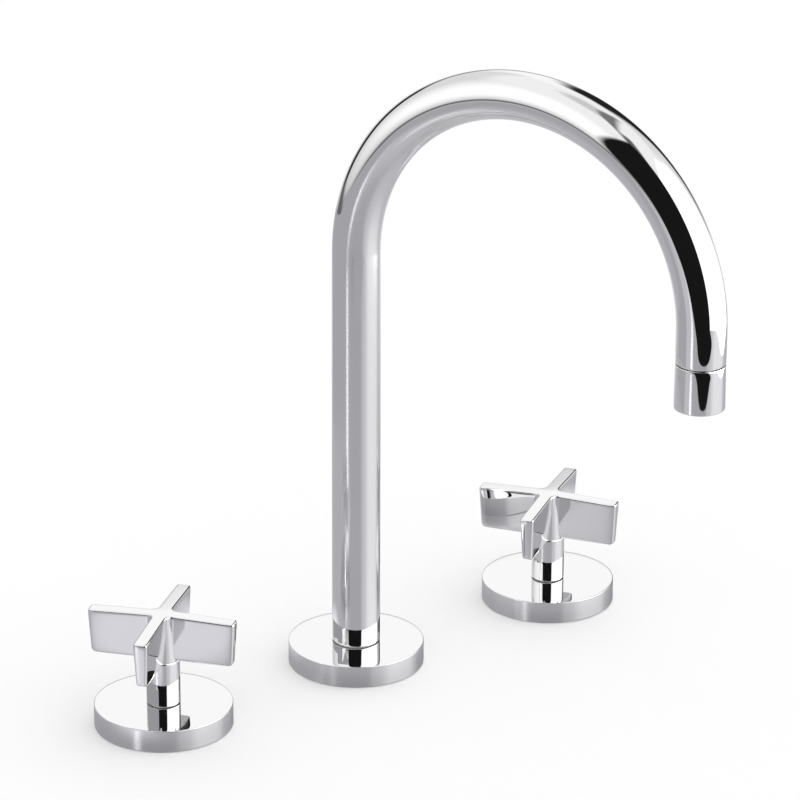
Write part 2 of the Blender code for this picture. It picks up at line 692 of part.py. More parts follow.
def glide_ring(side, axis, material):
    """The ring that fills the flange's hole under the handle and guides the stem."""
    bore = STEM_RADIUS + RUNNING_GAP
    profile = [
        (bore, GLIDE_FOOT_BASE),
        (GLIDE_FOOT_RADIUS, GLIDE_FOOT_BASE),
        (GLIDE_FOOT_RADIUS, GLIDE_FOOT_BASE + GLIDE_FOOT_THICKNESS),
        (GLIDE_RADIUS, GLIDE_FOOT_BASE + GLIDE_FOOT_THICKNESS),
        (GLIDE_RADIUS, SEAM_HEIGHT - RUNNING_GAP),
        (bore, SEAM_HEIGHT - RUNNING_GAP),
    ]
    return piece(side + "_glide_ring", turned(profile, HIDDEN_SEGMENTS), axis, material)


def cross_outline(half_thickness, reach, root_fillet, tip_round):
    """The outline of the four arms at one level, with filleted roots and ends turned about the axis."""
    quarter = []
    end = math.sqrt(reach**2 - half_thickness**2)
    quarter += arc(end - tip_round, tip_round - half_thickness, tip_round, -math.pi / 2, 0.0, ARM_TIP_STEPS)
    quarter.append((reach, 0.0))
    quarter += arc(end - tip_round, half_thickness - tip_round, tip_round, 0.0, math.pi / 2, ARM_TIP_STEPS)
    root = half_thickness + root_fillet
    quarter += arc(root, root, root_fillet, 1.5 * math.pi, math.pi, ARM_ROOT_STEPS)
    outline = []
    for arm in range(4):
        turn = Matrix.Rotation(arm * math.pi / 2, 2)
        outline += [tuple(turn @ Vector(point)) for point in quarter]
    return outline


def arm_ring(share, inset, drop):
    """The arms' outline at a share of their height, drawn in by an inset and kept a drop under the crown."""
    half = (ARM_FOOT_THICKNESS + (ARM_THICKNESS - ARM_FOOT_THICKNESS) * share) / 2 - inset
    reach = ARM_FOOT_REACH + (ARM_REACH - ARM_FOOT_REACH) * share - inset
    outline = cross_outline(half, reach, ARM_ROOT_FILLET + inset, max(ARM_TIP_ROUND - inset, inset / 4))
    ring = []
    for x, y in outline:
        crown = ARM_CROWN * (1.0 - math.hypot(x, y) / ARM_REACH)
        ring.append((x, y, ARM_FOOT + ARM_HEIGHT * share + crown * share - drop))
    return ring


def handle_arms():
    """The four arms: thicker above than below, sloping in at their ends, with a crowned top."""
    rings = [arm_ring(0.0, ARM_FOOT_ROUND, 0.0), arm_ring(ARM_FOOT_ROUND / ARM_HEIGHT, 0.0, 0.0)]
    for step in range(ARM_EDGE_STEPS + 1):
        angle = math.pi / 2 * step / ARM_EDGE_STEPS
        inset = ARM_EDGE_ROUND * (1.0 - math.cos(angle))
        rings.append(arm_ring(1.0, inset, ARM_EDGE_ROUND * (1.0 - math.sin(angle))))
    builder = bmesh.new()
    loops = [[builder.verts.new(point) for point in ring] for ring in rings]
    for low, high in zip(loops, loops[1:]):
        skin(builder, low, high)
    builder.faces.new(reversed(loops[0]))
    peak = builder.verts.new((0.0, 0.0, HANDLE_TOP))
    for first, second in zip(loops[-1], loops[-1][1:] + loops[-1][:1]):
        builder.faces.new((first, second, peak))
    return builder


def hub_profile():
    """The sleeve under the arms, its rounded shoulder, and the cone between the arms."""
    edge = SEAM_HEIGHT + SLEEVE_EDGE_ROUND
    shoulder = ARM_FOOT - HUB_SHOULDER_ROUND
    rounded = arc(SLEEVE_RADIUS - HUB_SHOULDER_ROUND, shoulder, HUB_SHOULDER_ROUND, 0.0, math.pi / 2, 3)
    cone_foot = [(HUB_FOOT_RADIUS - FUSE_OVERLAP / 4, ARM_FOOT)]
    lower = [(0.0, SEAM_HEIGHT), (SLEEVE_RADIUS - SLEEVE_EDGE_ROUND, SEAM_HEIGHT), (SLEEVE_RADIUS, edge)]
    cone_top = HANDLE_TOP - HUB_TOP_INSET
    return lower + rounded + cone_foot + [(HUB_TOP_RADIUS, cone_top), (0.0, cone_top)]


def handle(side, axis, material):
    """The cross handle: arms, hub and sleeve in one, bored for the stem and tapped for its set screw."""
    name = side + "_handle"
    body = piece(name, turned(hub_profile(), VISIBLE_SEGMENTS), axis, material)
    fuse(body, helper(name + "_arms", handle_arms(), axis, material))
    mouth = rod(
        SLEEVE_MOUTH_RADIUS,
        (0, 0, SEAM_HEIGHT - CUT_OVERRUN),
        (0, 0, SEAM_HEIGHT + SLEEVE_MOUTH_DEPTH),
        HIDDEN_SEGMENTS,
    )
    cut(body, helper(name + "_mouth", mouth, axis, material))
    broach = prism(
        spline_outline(RUNNING_GAP),
        SEAM_HEIGHT + SLEEVE_MOUTH_DEPTH - FUSE_OVERLAP,
        SPLINE_TOP + RUNNING_GAP,
    )
    cut(body, helper(name + "_broach", broach, axis, material))
    direction = Vector((math.cos(SET_SCREW_TURN), math.sin(SET_SCREW_TURN), 0.0))
    height = Vector((0.0, 0.0, SET_SCREW_HEIGHT))
    inner = direction * (SPLINE_TIP_RADIUS - CUT_OVERRUN) + height
    outer = direction * (SLEEVE_RADIUS + CUT_OVERRUN) + height
    tapped = rod(SET_SCREW_RADIUS + SEATED_GAP, inner, outer, SMALL_SEGMENTS)
    cut(body, helper(name + "_tapped_hole", tapped, axis, material))
    return body


def grub_screw(name, radius, inner, outer, height, turn, axis, material):
    """A headless screw that points at the axis, with a hexagon socket in its outer end."""
    length = outer - inner
    point = radius / 3
    profile = [(0.0, 0.0), (radius - point, 0.0), (radius, point), (radius, length), (0.0, length)]
    builder = turned(profile, SMALL_SEGMENTS)
    place = (
        Matrix.Rotation(turn, 4, "Z")
        @ Matrix.Translation((inner, 0.0, height))
        @ Matrix.Rotation(math.pi / 2, 4, "Y")
    )
    bmesh.ops.transform(builder, matrix=place, verts=builder.verts)
    screw = piece(name, builder, axis, material)
    socket_radius = SET_SCREW_SOCKET_RADIUS * radius / SET_SCREW_RADIUS
    socket_depth = min(SET_SCREW_SOCKET_DEPTH, length / 2)
    socket = rod(socket_radius, (outer - socket_depth, 0, height), (outer + CUT_OVERRUN, 0, height), 6)
    bmesh.ops.rotate(socket, verts=socket.verts, cent=(0, 0, 0), matrix=Matrix.Rotation(turn, 3, "Z"))
    cut(screw, helper(name + "_socket", socket, axis, material))
    return screw


def valve_set(side, centre, toward_spout, rest_turn, metals):
    """Everything at one side hole: the fixed valve, and the handle with what turns with it."""
    valve = axis_empty(side + "_valve_axis", (centre, 0.0, 0.0), toward_spout)
    knob = axis_empty(side + "_handle_axis", (centre, 0.0, 0.0), rest_turn)
    boss_bore = SHANK_RADIUS + RUNNING_GAP
    flange(side + "_flange", GLIDE_RADIUS + SEATED_GAP, boss_bore, BOSS_BASE, valve, metals["chrome"])
    flange_seal(side + "_flange_seal", valve, metals["rubber"])
    valve_body(side, valve, metals["brass"])
    washer_bore = SHANK_RADIUS + RUNNING_GAP
    flat_washer(
        side + "_top_washer",
        washer_bore,
        TOP_WASHER_RADIUS,
        TOP_WASHER_TOP,
        TOP_WASHER_THICKNESS,
        valve,
        metals["steel"],
    )
    retaining_clip(side, valve, metals["steel"])
    clamp_set(side, SHANK_RADIUS, VALVE_NUT_FLATS, VALVE_NUT_HEIGHT, valve, metals)
    cartridge_body(side, valve, metals["brass"])
    ceramic_disc(side + "_stator_disc", STATOR_TOP, 0.0, valve, metals["ceramic"])
    seat_seal(side, valve, metals["rubber"])
    glide_ring(side, valve, metals["plastic"])
    cartridge_stem(side, knob, metals["brass"])
    stem_ring(side, knob, metals["rubber"])
    rotor_disc(side, rest_turn, knob, metals["ceramic"])
    handle(side, knob, metals["chrome"])
    grub_screw(
        side + "_set_screw",
        SET_SCREW_RADIUS,
        SPLINE_TIP_RADIUS + SEATED_GAP,
        SLEEVE_RADIUS - SET_SCREW_RECESS,
        SET_SCREW_HEIGHT,
        SET_SCREW_TURN,
        knob,
        metals["steel"],
    )


def tube_stations():
    """Places along the tube's centreline, each with its direction, from the foot to the outlet."""
    stations = [(Vector((0.0, 0.0, SEAM_HEIGHT)), Vector((0.0, 0.0, 1.0)))]
    for step in range(TUBE_BEND_STEPS + 1):
        angle = TUBE_BEND_ANGLE * step / TUBE_BEND_STEPS
        forward = TUBE_BEND_RADIUS * (1.0 - math.cos(angle))
        height = TUBE_LEG_TOP + TUBE_BEND_RADIUS * math.sin(angle)
        along = Vector((0.0, -math.sin(angle), math.cos(angle)))
        stations.append((Vector((0.0, -forward, height)), along))
    last, along = stations[-1]
    stations.append((last + along * TUBE_TAIL, along))
    return stations


def tube_ring(station, radius, count):
    """Points round the tube at one station."""
    place, along = station
    side = Vector((1.0, 0.0, 0.0))
    across = along.cross(side)
    ring = []
    for index in range(count):
        angle = FULL_TURN * index / count
        ring.append(place + side * radius * math.cos(angle) + across * radius * math.sin(angle))
    return ring


def tube_outside():
    """The tube's outside, with its foot's edge rounded."""
    stations = tube_stations()
    foot, along = stations[0]
    rings = [tube_ring(stations[0], TUBE_RADIUS - TUBE_END_ROUND, TUBE_SEGMENTS)]
    rings.append(tube_ring((foot + along * TUBE_END_ROUND, along), TUBE_RADIUS, TUBE_SEGMENTS))
    rings += [tube_ring(station, TUBE_RADIUS, TUBE_SEGMENTS) for station in stations[1:]]
    return lofted(rings)


def tube_bore():
    """The cutter for the tube's bore, longer than the tube at both ends."""
    stations = tube_stations()
    foot, up = stations[0]
    end, down = stations[-1]
    stations[0] = (foot - up * CUT_OVERRUN, up)
    stations[-1] = (end + down * CUT_OVERRUN, down)
    circumscribed = TUBE_BORE_RADIUS / math.cos(math.pi / TUBE_BORE_SEGMENTS)
    every_other = stations[:1] + stations[1:-1:2] + stations[-1:]
    return lofted([tube_ring(station, circumscribed, TUBE_BORE_SEGMENTS) for station in every_other])


def spout_tube(axis, material):
    """The arched tube, with a tapped hole at the back of its foot."""
    tube = piece("spout_tube", tube_outside(), axis, material)
    cut(tube, helper("spout_tube_bore", tube_bore(), axis, material))
    tapped = rod(
        RETAINING_SCREW_RADIUS + SEATED_GAP,
        (0, SPIGOT_RADIUS - TRACK_DEPTH, TRACK_CENTRE),
        (0, TUBE_RADIUS + CUT_OVERRUN, TRACK_CENTRE),
        SMALL_SEGMENTS,
    )
    cut(tube, helper("spout_tube_tapped_hole", tapped, axis, material))
    return tube


def spigot_profile():
    """The spout's shank: thread, collar over the deck, shoulder, and the spigot that the tube turns on."""
    ring_root = SPIGOT_RADIUS - RING_GROOVE_DEPTH
    collar_top = COLLAR_UNDERSIDE + BASE_COLLAR_HEIGHT
    profile = [
        (SPOUT_BORE_RADIUS, SPOUT_FOOT),
        (SPOUT_THREAD_RADIUS - THREAD_END_CHAMFER, SPOUT_FOOT),
        (SPOUT_THREAD_RADIUS, SPOUT_FOOT + THREAD_END_CHAMFER),
        (SPOUT_THREAD_RADIUS, COLLAR_UNDERSIDE),
        (BASE_COLLAR_RADIUS, COLLAR_UNDERSIDE),
        (BASE_COLLAR_RADIUS, collar_top),
        (SPOUT_THREAD_RADIUS, collar_top),
        (SPOUT_THREAD_RADIUS, CEILING_HEIGHT - SEATED_GAP),
        (SHOULDER_RADIUS, CEILING_HEIGHT - SEATED_GAP),
        (SHOULDER_RADIUS, SHOULDER_TOP),
        (BUSH_ROOT_RADIUS, SHOULDER_TOP),
        (BUSH_ROOT_RADIUS, LOWER_BUSH_TOP + SEATED_GAP),
        (SPIGOT_RADIUS, LOWER_BUSH_TOP + SEATED_GAP),
    ]
    for height in (LOWER_RING_HEIGHT, UPPER_RING_HEIGHT):
        low, high = height - RING_GROOVE_WIDTH / 2, height + RING_GROOVE_WIDTH / 2
        profile += [(SPIGOT_RADIUS, low), (ring_root, low), (ring_root, high), (SPIGOT_RADIUS, high)]
    profile += [
        (SPIGOT_RADIUS, UPPER_BUSH_BASE - SEATED_GAP),
        (BUSH_ROOT_RADIUS, UPPER_BUSH_BASE - SEATED_GAP),
        (BUSH_ROOT_RADIUS, UPPER_BUSH_TOP + SEATED_GAP),
        (SPIGOT_RADIUS, UPPER_BUSH_TOP + SEATED_GAP),
        (SPIGOT_RADIUS, SPIGOT_TOP - THREAD_END_CHAMFER),
        (SPIGOT_RADIUS - THREAD_END_CHAMFER, SPIGOT_TOP),
        (SPOUT_BORE_RADIUS, SPIGOT_TOP),
    ]
    return profile


def spout_shank(axis, material):
    """The shank, with the track that the retaining screw runs in as the spout swivels."""
    shank = piece("spout_shank", turned(spigot_profile(), HIDDEN_SEGMENTS), axis, material)
    floor = SPIGOT_RADIUS - TRACK_DEPTH
    screw_half = math.asin((RETAINING_SCREW_RADIUS + RUNNING_GAP) / floor)
    spread = 2 * (SWIVEL_EACH_WAY + screw_half)
    outline = sector(floor, SPIGOT_RADIUS + CUT_OVERRUN, math.pi / 2, spread, TRACK_STEPS)
    track = prism(outline, TRACK_BASE, TRACK_BASE + TRACK_HEIGHT)
    cut(shank, helper("spout_shank_track", track, axis, material))
    return shank


def lower_bush(axis, material):
    """The bush at the spigot's foot, whose flange carries the tube."""
    foot_top = BUSH_FOOT_BASE + BUSH_FOOT_THICKNESS
    profile = [
        (BUSH_INNER_RADIUS, BUSH_FOOT_BASE),
        (SHOULDER_RADIUS, BUSH_FOOT_BASE),
        (SHOULDER_RADIUS, foot_top),
        (BUSH_OUTER_RADIUS, foot_top),
        (BUSH_OUTER_RADIUS, LOWER_BUSH_TOP),
        (BUSH_INNER_RADIUS, LOWER_BUSH_TOP),
    ]
    return piece("spout_lower_bush", turned(profile, HIDDEN_SEGMENTS), axis, material)


def upper_bush(axis, material):
    profile = ring_profile(BUSH_INNER_RADIUS, BUSH_OUTER_RADIUS, UPPER_BUSH_BASE, UPPER_BUSH_TOP)
    return piece("spout_upper_bush", turned(profile, HIDDEN_SEGMENTS), axis, material)


def spout_ring(name, height, axis, material):
    middle = TUBE_BORE_RADIUS - RUNNING_GAP - RING_THICKNESS / 2
    ring = ring_of_round_section(middle, RING_THICKNESS, height, HIDDEN_SEGMENTS)
    return piece(name, ring, axis, material)


def inlet_tee(axis, material):
    """The tee that brings hot and cold together under the spout's shank."""
    socket_top = SPOUT_FOOT + TEE_SOCKET_DEPTH
    outside = [(0.0, socket_top), (TEE_RADIUS, socket_top), (TEE_RADIUS, TEE_BASE), (0.0, TEE_BASE)]
    tee = piece("inlet_tee", turned(outside, HIDDEN_SEGMENTS), axis, material)
    branches = rod(TEE_THREAD_RADIUS, (-TEE_REACH, 0, TEE_AXIS_HEIGHT), (TEE_REACH, 0, TEE_AXIS_HEIGHT), HIDDEN_SEGMENTS)
    fuse(tee, helper("inlet_tee_branches", branches, axis, material))
    socket = SPOUT_THREAD_RADIUS + SEATED_GAP
    inside = [
        (0.0, socket_top + CUT_OVERRUN),
        (socket, socket_top + CUT_OVERRUN),
        (socket, TEE_LEDGE),
        (SPOUT_BORE_RADIUS, TEE_LEDGE),
        (SPOUT_BORE_RADIUS, TEE_AXIS_HEIGHT),
        (0.0, TEE_AXIS_HEIGHT),
    ]
    cut(tee, helper("inlet_tee_socket", turned(inside, HIDDEN_SEGMENTS), axis, material))
    reach = TEE_REACH + CUT_OVERRUN
    passage = rod(TEE_BORE_RADIUS, (-reach, 0, TEE_AXIS_HEIGHT), (reach, 0, TEE_AXIS_HEIGHT), SMALL_SEGMENTS)
    cut(tee, helper("inlet_tee_passage", passage, axis, material))
    return tee


def spout_base_set(metals):
    """The fixed pieces at the middle hole, under and inside the swivelling tube."""
    base = axis_empty("spout_base_axis", (0.0, 0.0, 0.0), 0.0)
    hole = SHOULDER_RADIUS + SEATED_GAP
    boss_base = COLLAR_UNDERSIDE + BASE_COLLAR_HEIGHT + SEATED_GAP
    flange("spout_flange", hole, SPOUT_THREAD_RADIUS + SEATED_GAP, boss_base, base, metals["chrome"])
    flange_seal("spout_flange_seal", base, metals["rubber"])
    spout_shank(base, metals["brass"])
    gasket_bore = SPOUT_THREAD_RADIUS + SEATED_GAP
    flat_washer(
        "spout_base_gasket",
        gasket_bore,
        BASE_COLLAR_RADIUS,
        BASE_GASKET_THICKNESS,
        BASE_GASKET_THICKNESS,
        base,
        metals["rubber"],
    )
    clamp_set("spout", SPOUT_THREAD_RADIUS, SPOUT_NUT_FLATS, SPOUT_NUT_HEIGHT, base, metals)
    lower_bush(base, metals["plastic"])
    upper_bush(base, metals["plastic"])
    spout_ring("spout_lower_ring", LOWER_RING_HEIGHT, base, metals["rubber"])
    spout_ring("spout_upper_ring", UPPER_RING_HEIGHT, base, metals["rubber"])
    inlet_tee(base, metals["brass"])
    flat_washer(
        "tee_seal",
        SPOUT_BORE_RADIUS,
        SPOUT_THREAD_RADIUS - THREAD_END_CHAMFER,
        TEE_SEAL_TOP,
        TEE_SEAL_THICKNESS,
        base,
        metals["rubber"],
    )


def outlet_ring(axis, material):
    """The ring at the tube's end: a neck up inside the tube and a skirt round the aerator."""
    neck_radius = TUBE_BORE_RADIUS - SEATED_GAP
    neck_bore = neck_radius - OUTLET_NECK_WALL
    rounding = arc(
        OUTLET_RING_RADIUS - OUTLET_RING_ROUND,
        -SEAM_GAP - OUTLET_RING_ROUND,
        OUTLET_RING_ROUND,
        math.pi / 2,
        0.0,
        2,
    )
    profile = [(neck_bore, OUTLET_NECK_LENGTH), (neck_radius, OUTLET_NECK_LENGTH), (neck_radius, -SEAM_GAP)]
    profile += rounding
    profile += [
        (OUTLET_RING_RADIUS, -OUTLET_RING_LENGTH),
        (AERATOR_SPACE_RADIUS, -OUTLET_RING_LENGTH),
        (AERATOR_SPACE_RADIUS, -OUTLET_CEILING),
        (neck_bore, -OUTLET_CEILING),
    ]
    return piece("outlet_ring", turned(profile, VISIBLE_SEGMENTS), axis, material)


def aerator_washer(axis, material):
    base = AERATOR_WASHER_TOP - AERATOR_WASHER_THICKNESS
    profile = ring_profile(AERATOR_RADIUS - AERATOR_WASHER_WIDTH, AERATOR_RADIUS, base, AERATOR_WASHER_TOP)
    return piece("aerator_washer", turned(profile, HIDDEN_SEGMENTS), axis, material)


def aerator_screen(axis, material):
    """The domed screen over the aerator, pierced by rings of small holes."""
    edge = AERATOR_SCREEN_TOP - AERATOR_SCREEN_DOME
    middle = AERATOR_RADIUS / 2
    rise = AERATOR_SCREEN_DOME * 3 / 4
    profile = [
        (0.0, AERATOR_SCREEN_TOP),
        (middle, edge + rise),
        (AERATOR_RADIUS, edge),
        (AERATOR_RADIUS, edge - AERATOR_SCREEN_THICKNESS),
        (middle, edge + rise - AERATOR_SCREEN_THICKNESS),
        (0.0, AERATOR_SCREEN_TOP - AERATOR_SCREEN_THICKNESS),
    ]
    screen = piece("aerator_screen", turned(profile, HIDDEN_SEGMENTS), axis, material)
    low, high = edge - AERATOR_SCREEN_THICKNESS - CUT_OVERRUN, AERATOR_SCREEN_TOP + CUT_OVERRUN
    for row, (share, count) in enumerate(AERATOR_SCREEN_ROWS_SHARES):
        for index in range(count):
            angle = FULL_TURN * index / count
            x = AERATOR_RADIUS * share * math.cos(angle)
            y = AERATOR_RADIUS * share * math.sin(angle)
            hole = rod(AERATOR_SCREEN_HOLE_RADIUS, (x, y, low), (x, y, high), 6)
            cut(screen, helper(f"aerator_screen_hole_{row}_{index}", hole, axis, material))
    return screen


def aerator_insert(axis, material):
    """The aerator's cup, with a grille of square openings across its floor."""
    inside = AERATOR_RADIUS - AERATOR_WALL
    floor = AERATOR_BASE + AERATOR_GRILLE_THICKNESS
    profile = [
        (0.0, AERATOR_BASE),
        (AERATOR_RADIUS, AERATOR_BASE),
        (AERATOR_RADIUS, AERATOR_TOP),
        (inside, AERATOR_TOP),
        (inside, floor),
        (0.0, floor),
    ]
    insert = piece("aerator_insert", turned(profile, HIDDEN_SEGMENTS), axis, material)
    half = (AERATOR_GRILLE_PITCH - AERATOR_GRILLE_BAR) / 2
    rows = int(inside / AERATOR_GRILLE_PITCH)
    for column in range(-rows, rows + 1):
        for row in range(-rows, rows + 1):
            x, y = column * AERATOR_GRILLE_PITCH, row * AERATOR_GRILLE_PITCH
            if math.hypot(abs(x) + half, abs(y) + half) > inside:
                continue
            low = (x - half, y - half, AERATOR_BASE - CUT_OVERRUN)
            high = (x + half, y + half, floor + CUT_OVERRUN)
            cut(insert, helper(f"aerator_opening_{column}_{row}", block(low, high), axis, material))
    return insert


def spout_set(metals):
    """The swivelling pieces: the tube, its retaining screw, and the outlet at its end."""
    swivel = axis_empty("spout_swivel_axis", (0.0, 0.0, 0.0), SPOUT_REST_TURN)
    outlet = axis_empty("spout_outlet_axis", (0.0, -OUTLET_FORWARD, OUTLET_HEIGHT), 0.0, swivel)
    spout_tube(swivel, metals["chrome"])
    grub_screw(
        "spout_retaining_screw",
        RETAINING_SCREW_RADIUS,
        SPIGOT_RADIUS - TRACK_DEPTH + RUNNING_GAP,
        TUBE_RADIUS - RETAINING_SCREW_RECESS,
        TRACK_CENTRE,
        math.pi / 2,
        swivel,
        metals["steel"],
    )
    outlet_ring(outlet, metals["chrome"])
    aerator_washer(outlet, metals["rubber"])
    aerator_screen(outlet, metals["steel"])
    aerator_insert(outlet, metals["plastic"])


def main():
    clear_scene()
    metals = {
        "chrome": finish("chrome", (0.86, 0.87, 0.88), 0.04, 1.0),
        "brass": finish("brass", (0.78, 0.58, 0.28), 0.28, 1.0),
        "steel": finish("steel", (0.62, 0.62, 0.63), 0.25, 1.0),
        "rubber": finish("rubber", (0.03, 0.03, 0.03), 0.7, 0.0),
        "ceramic": finish("ceramic", (0.92, 0.91, 0.88), 0.15, 0.0),
        "plastic": finish("plastic", (0.88, 0.88, 0.86), 0.4, 0.0),
    }
    valve_set("hot", -HOT_CENTRE, 0.0, HOT_REST_TURN, metals)
    valve_set("cold", COLD_CENTRE, math.pi, COLD_REST_TURN, metals)
    spout_base_set(metals)
    spout_set(metals)


main()
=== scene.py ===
"""Looks of a widespread basin faucet: two cross handles and a high arched spout, on round flanges.

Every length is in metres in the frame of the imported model: +Z is up, the deck's top is at Z = 0, the origin is on
the spout's axis, and X runs along the three deck holes.
"""

import functools
import itertools
import json
import logging
import math
from collections.abc import Callable
from dataclasses import dataclass
from enum import Enum

import bpy
from mathutils import Matrix, Vector


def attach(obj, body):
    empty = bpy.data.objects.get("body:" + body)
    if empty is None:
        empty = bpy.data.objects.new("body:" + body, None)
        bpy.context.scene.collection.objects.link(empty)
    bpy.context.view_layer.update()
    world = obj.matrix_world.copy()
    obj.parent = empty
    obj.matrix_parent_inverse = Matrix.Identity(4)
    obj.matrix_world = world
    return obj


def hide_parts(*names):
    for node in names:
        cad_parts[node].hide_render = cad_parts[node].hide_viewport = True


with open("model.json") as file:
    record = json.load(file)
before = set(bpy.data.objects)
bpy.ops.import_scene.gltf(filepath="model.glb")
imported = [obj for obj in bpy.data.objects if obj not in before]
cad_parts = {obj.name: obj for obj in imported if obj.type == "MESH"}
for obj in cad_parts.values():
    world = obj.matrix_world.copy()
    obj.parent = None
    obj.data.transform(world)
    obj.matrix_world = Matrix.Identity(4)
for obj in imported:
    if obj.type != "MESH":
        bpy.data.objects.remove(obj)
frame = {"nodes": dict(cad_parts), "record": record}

log = logging.getLogger("faucet")

MM = 0.001
FULL_TURN = 2 * math.pi
UP = Vector((0, 0, 1))
HOT_X = -98.8 * MM
COLD_X = 104.4 * MM
SMOOTH_ANGLE = math.radians(28)
FLAT_FACE_WEIGHT = 80
SAME_POINT = 1e-6
SEWN_POINT = 2e-6
NO_LENGTH = 1e-7
ARC_STEPS = 6
Point = tuple[float, float]
Colour = tuple[float, float, float]
Piece = bpy.types.Object
Socket = bpy.types.NodeSocket
Level = Socket | float


# Shop tools


def deselect() -> None:
    """Leaves edit mode and clears the selection."""
    if bpy.context.object and bpy.context.object.mode != "OBJECT":
        bpy.ops.object.mode_set(mode="OBJECT")
    bpy.ops.object.select_all(action="DESELECT")


def pick(piece: Piece) -> None:
    """Selects one object alone and makes it active."""
    deselect()
    piece.select_set(True)
    bpy.context.view_layer.objects.active = piece


def edit_all(piece: Piece) -> None:
    """Opens a piece in edit mode with everything in it selected."""
    pick(piece)
    bpy.ops.object.mode_set(mode="EDIT")
    bpy.ops.mesh.select_all(action="SELECT")


def sew(piece: Piece) -> None:
    """Merges doubled points and turns every face outwards."""
    edit_all(piece)
    bpy.ops.mesh.remove_doubles(threshold=SEWN_POINT)
    bpy.ops.mesh.dissolve_degenerate(threshold=NO_LENGTH)
    bpy.ops.mesh.normals_make_consistent(inside=False)
    bpy.ops.object.mode_set(mode="OBJECT")


def apply_modifiers(piece: Piece) -> None:
    """Applies every modifier of a piece, in order."""
    pick(piece)
    for modifier in list(piece.modifiers):
        bpy.ops.object.modifier_apply(modifier=modifier.name)


def place(piece: Piece, where: Matrix) -> Piece:
    """Moves the mesh itself and leaves the object at the origin."""
    piece.data.transform(piece.matrix_basis)
    piece.matrix_basis = Matrix.Identity(4)
    piece.data.transform(where)
    return piece


class Join(Enum):
    """What a second solid does to a piece."""

    ADD = "UNION"
    CUT = "DIFFERENCE"
    TRIM = "INTERSECT"


def join_solid(piece: Piece, other: Piece, join: Join) -> None:
    """Joins another solid to a piece and removes the other.

    Args:
        piece: The solid that stays.
        other: The solid that is used up.
        join: Whether the other is added, cut away, or what the piece is trimmed to.
    """
    modifier = piece.modifiers.new("solid", "BOOLEAN")
    modifier.object = other
    modifier.operation = join.value
    modifier.solver = "EXACT"
    apply_modifiers(piece)
    bpy.data.objects.remove(other, do_unlink=True)


def cut_away(piece: Piece, *tools: Piece) -> None:
    """Cuts solids away from a piece, one after the other, and sews it."""
    for tool in tools:
        join_solid(piece, tool, Join.CUT)
    sew(piece)


def just_added(name: str) -> Piece:
    """The object that was just added, with its name."""
    piece = bpy.context.object
    piece.name = name
    return piece


def close_ends(piece: Piece, fill: Callable[[], set[str]]) -> Piece:
    """Closes the open ends of a piece in edit mode with an operator that fills selected edges, and sews it."""
    bpy.ops.mesh.select_all(action="DESELECT")
    bpy.ops.mesh.select_mode(type="EDGE")
    bpy.ops.mesh.select_non_manifold(extend=False, use_multi_face=False, use_non_contiguous=False, use_verts=False)
    fill()
    bpy.ops.mesh.select_mode(type="VERT")
    sew(piece)
    return piece


@dataclass(frozen=True)
class Corner:
    """One corner of a turned outline: radius, height and how far it is rounded."""

    radius: float
    height: float
    round: float = 0.0


def in_mm(*rows: tuple[float, ...]) -> list[Corner]:
    """Corners that are given in millimetres."""
    return [Corner(*(number * MM for number in row)) for row in rows]


def band(inner: float, outer: float, low: float, high: float, soft: float = 0.0) -> list[Corner]:
    """The section of a flat ring."""
    return [Corner(*edge, soft) for edge in ((inner, low), (outer, low), (outer, high), (inner, high))]


def rounded(corners: list[Corner], steps: int = 5) -> list[Point]:
    """Rounds the corners of a closed outline.

    Args:
        corners: The outline's corners, in order.
        steps: How many edges each rounded corner gets.

    Returns:
        The outline's points, as (radius, height).
    """
    points: list[Point] = []
    for index, corner in enumerate(corners):
        here = Vector((corner.radius, corner.height))
        if not corner.round:
            points.append(tuple(here))
            continue
        before = corners[index - 1]
        after = corners[(index + 1) % len(corners)]
        back = (Vector((before.radius, before.height)) - here).normalized()
        ahead = (Vector((after.radius, after.height)) - here).normalized()
        half = back.angle(ahead) / 2
        reach = corner.round / math.tan(half)
        centre = here + (back + ahead).normalized() * corner.round / math.sin(half)
        first = here + back * reach - centre
        last = here + ahead * reach - centre
        sweep = first.angle_signed(last)
        for step in range(steps + 1):
            turn = Matrix.Rotation(-sweep * step / steps, 2)
            points.append(tuple(centre + turn @ first))
    return points


def turned(name: str, corners: list[Corner], segments: int = 96, steps: int = 5) -> Piece:
    """Spins a closed outline round Z.

    Args:
        name: The new piece's name.
        corners: The outline's corners.
        segments: How many facets the turn has.
        steps: How many edges each rounded corner gets.

    Returns:
        The piece, closed, with its faces outwards.
    """
    outline = rounded(corners, steps)
    deselect()
    bpy.ops.mesh.primitive_circle_add(vertices=len(outline), radius=0.01)
    piece = just_added(name)
    for vertex, (radius, height) in zip(piece.data.vertices, outline):
        vertex.co = (radius, 0.0, height)
    edit_all(piece)
    bpy.ops.mesh.spin(steps=segments, angle=FULL_TURN, center=(0, 0, 0), axis=(0, 0, 1))
    sew(piece)
    return piece


def lofted(name: str, rings: list[list[Vector]]) -> Piece:
    """Lays a grid round a row of rings with as many points each, and closes both ends.

    Args:
        name: The new piece's name.
        rings: The rings, from the first end to the last.

    Returns:
        The piece, closed, with its faces outwards.
    """
    count = len(rings[0])
    deselect()
    bpy.ops.mesh.primitive_grid_add(x_subdivisions=count, y_subdivisions=len(rings) - 1, size=0.01)
    piece = just_added(name)
    for index, vertex in enumerate(piece.data.vertices):
        row, column = divmod(index, count + 1)
        vertex.co = rings[row][column % count]
    edit_all(piece)
    bpy.ops.mesh.remove_doubles(threshold=SAME_POINT)
    return close_ends(piece, bpy.ops.mesh.edge_face_add)


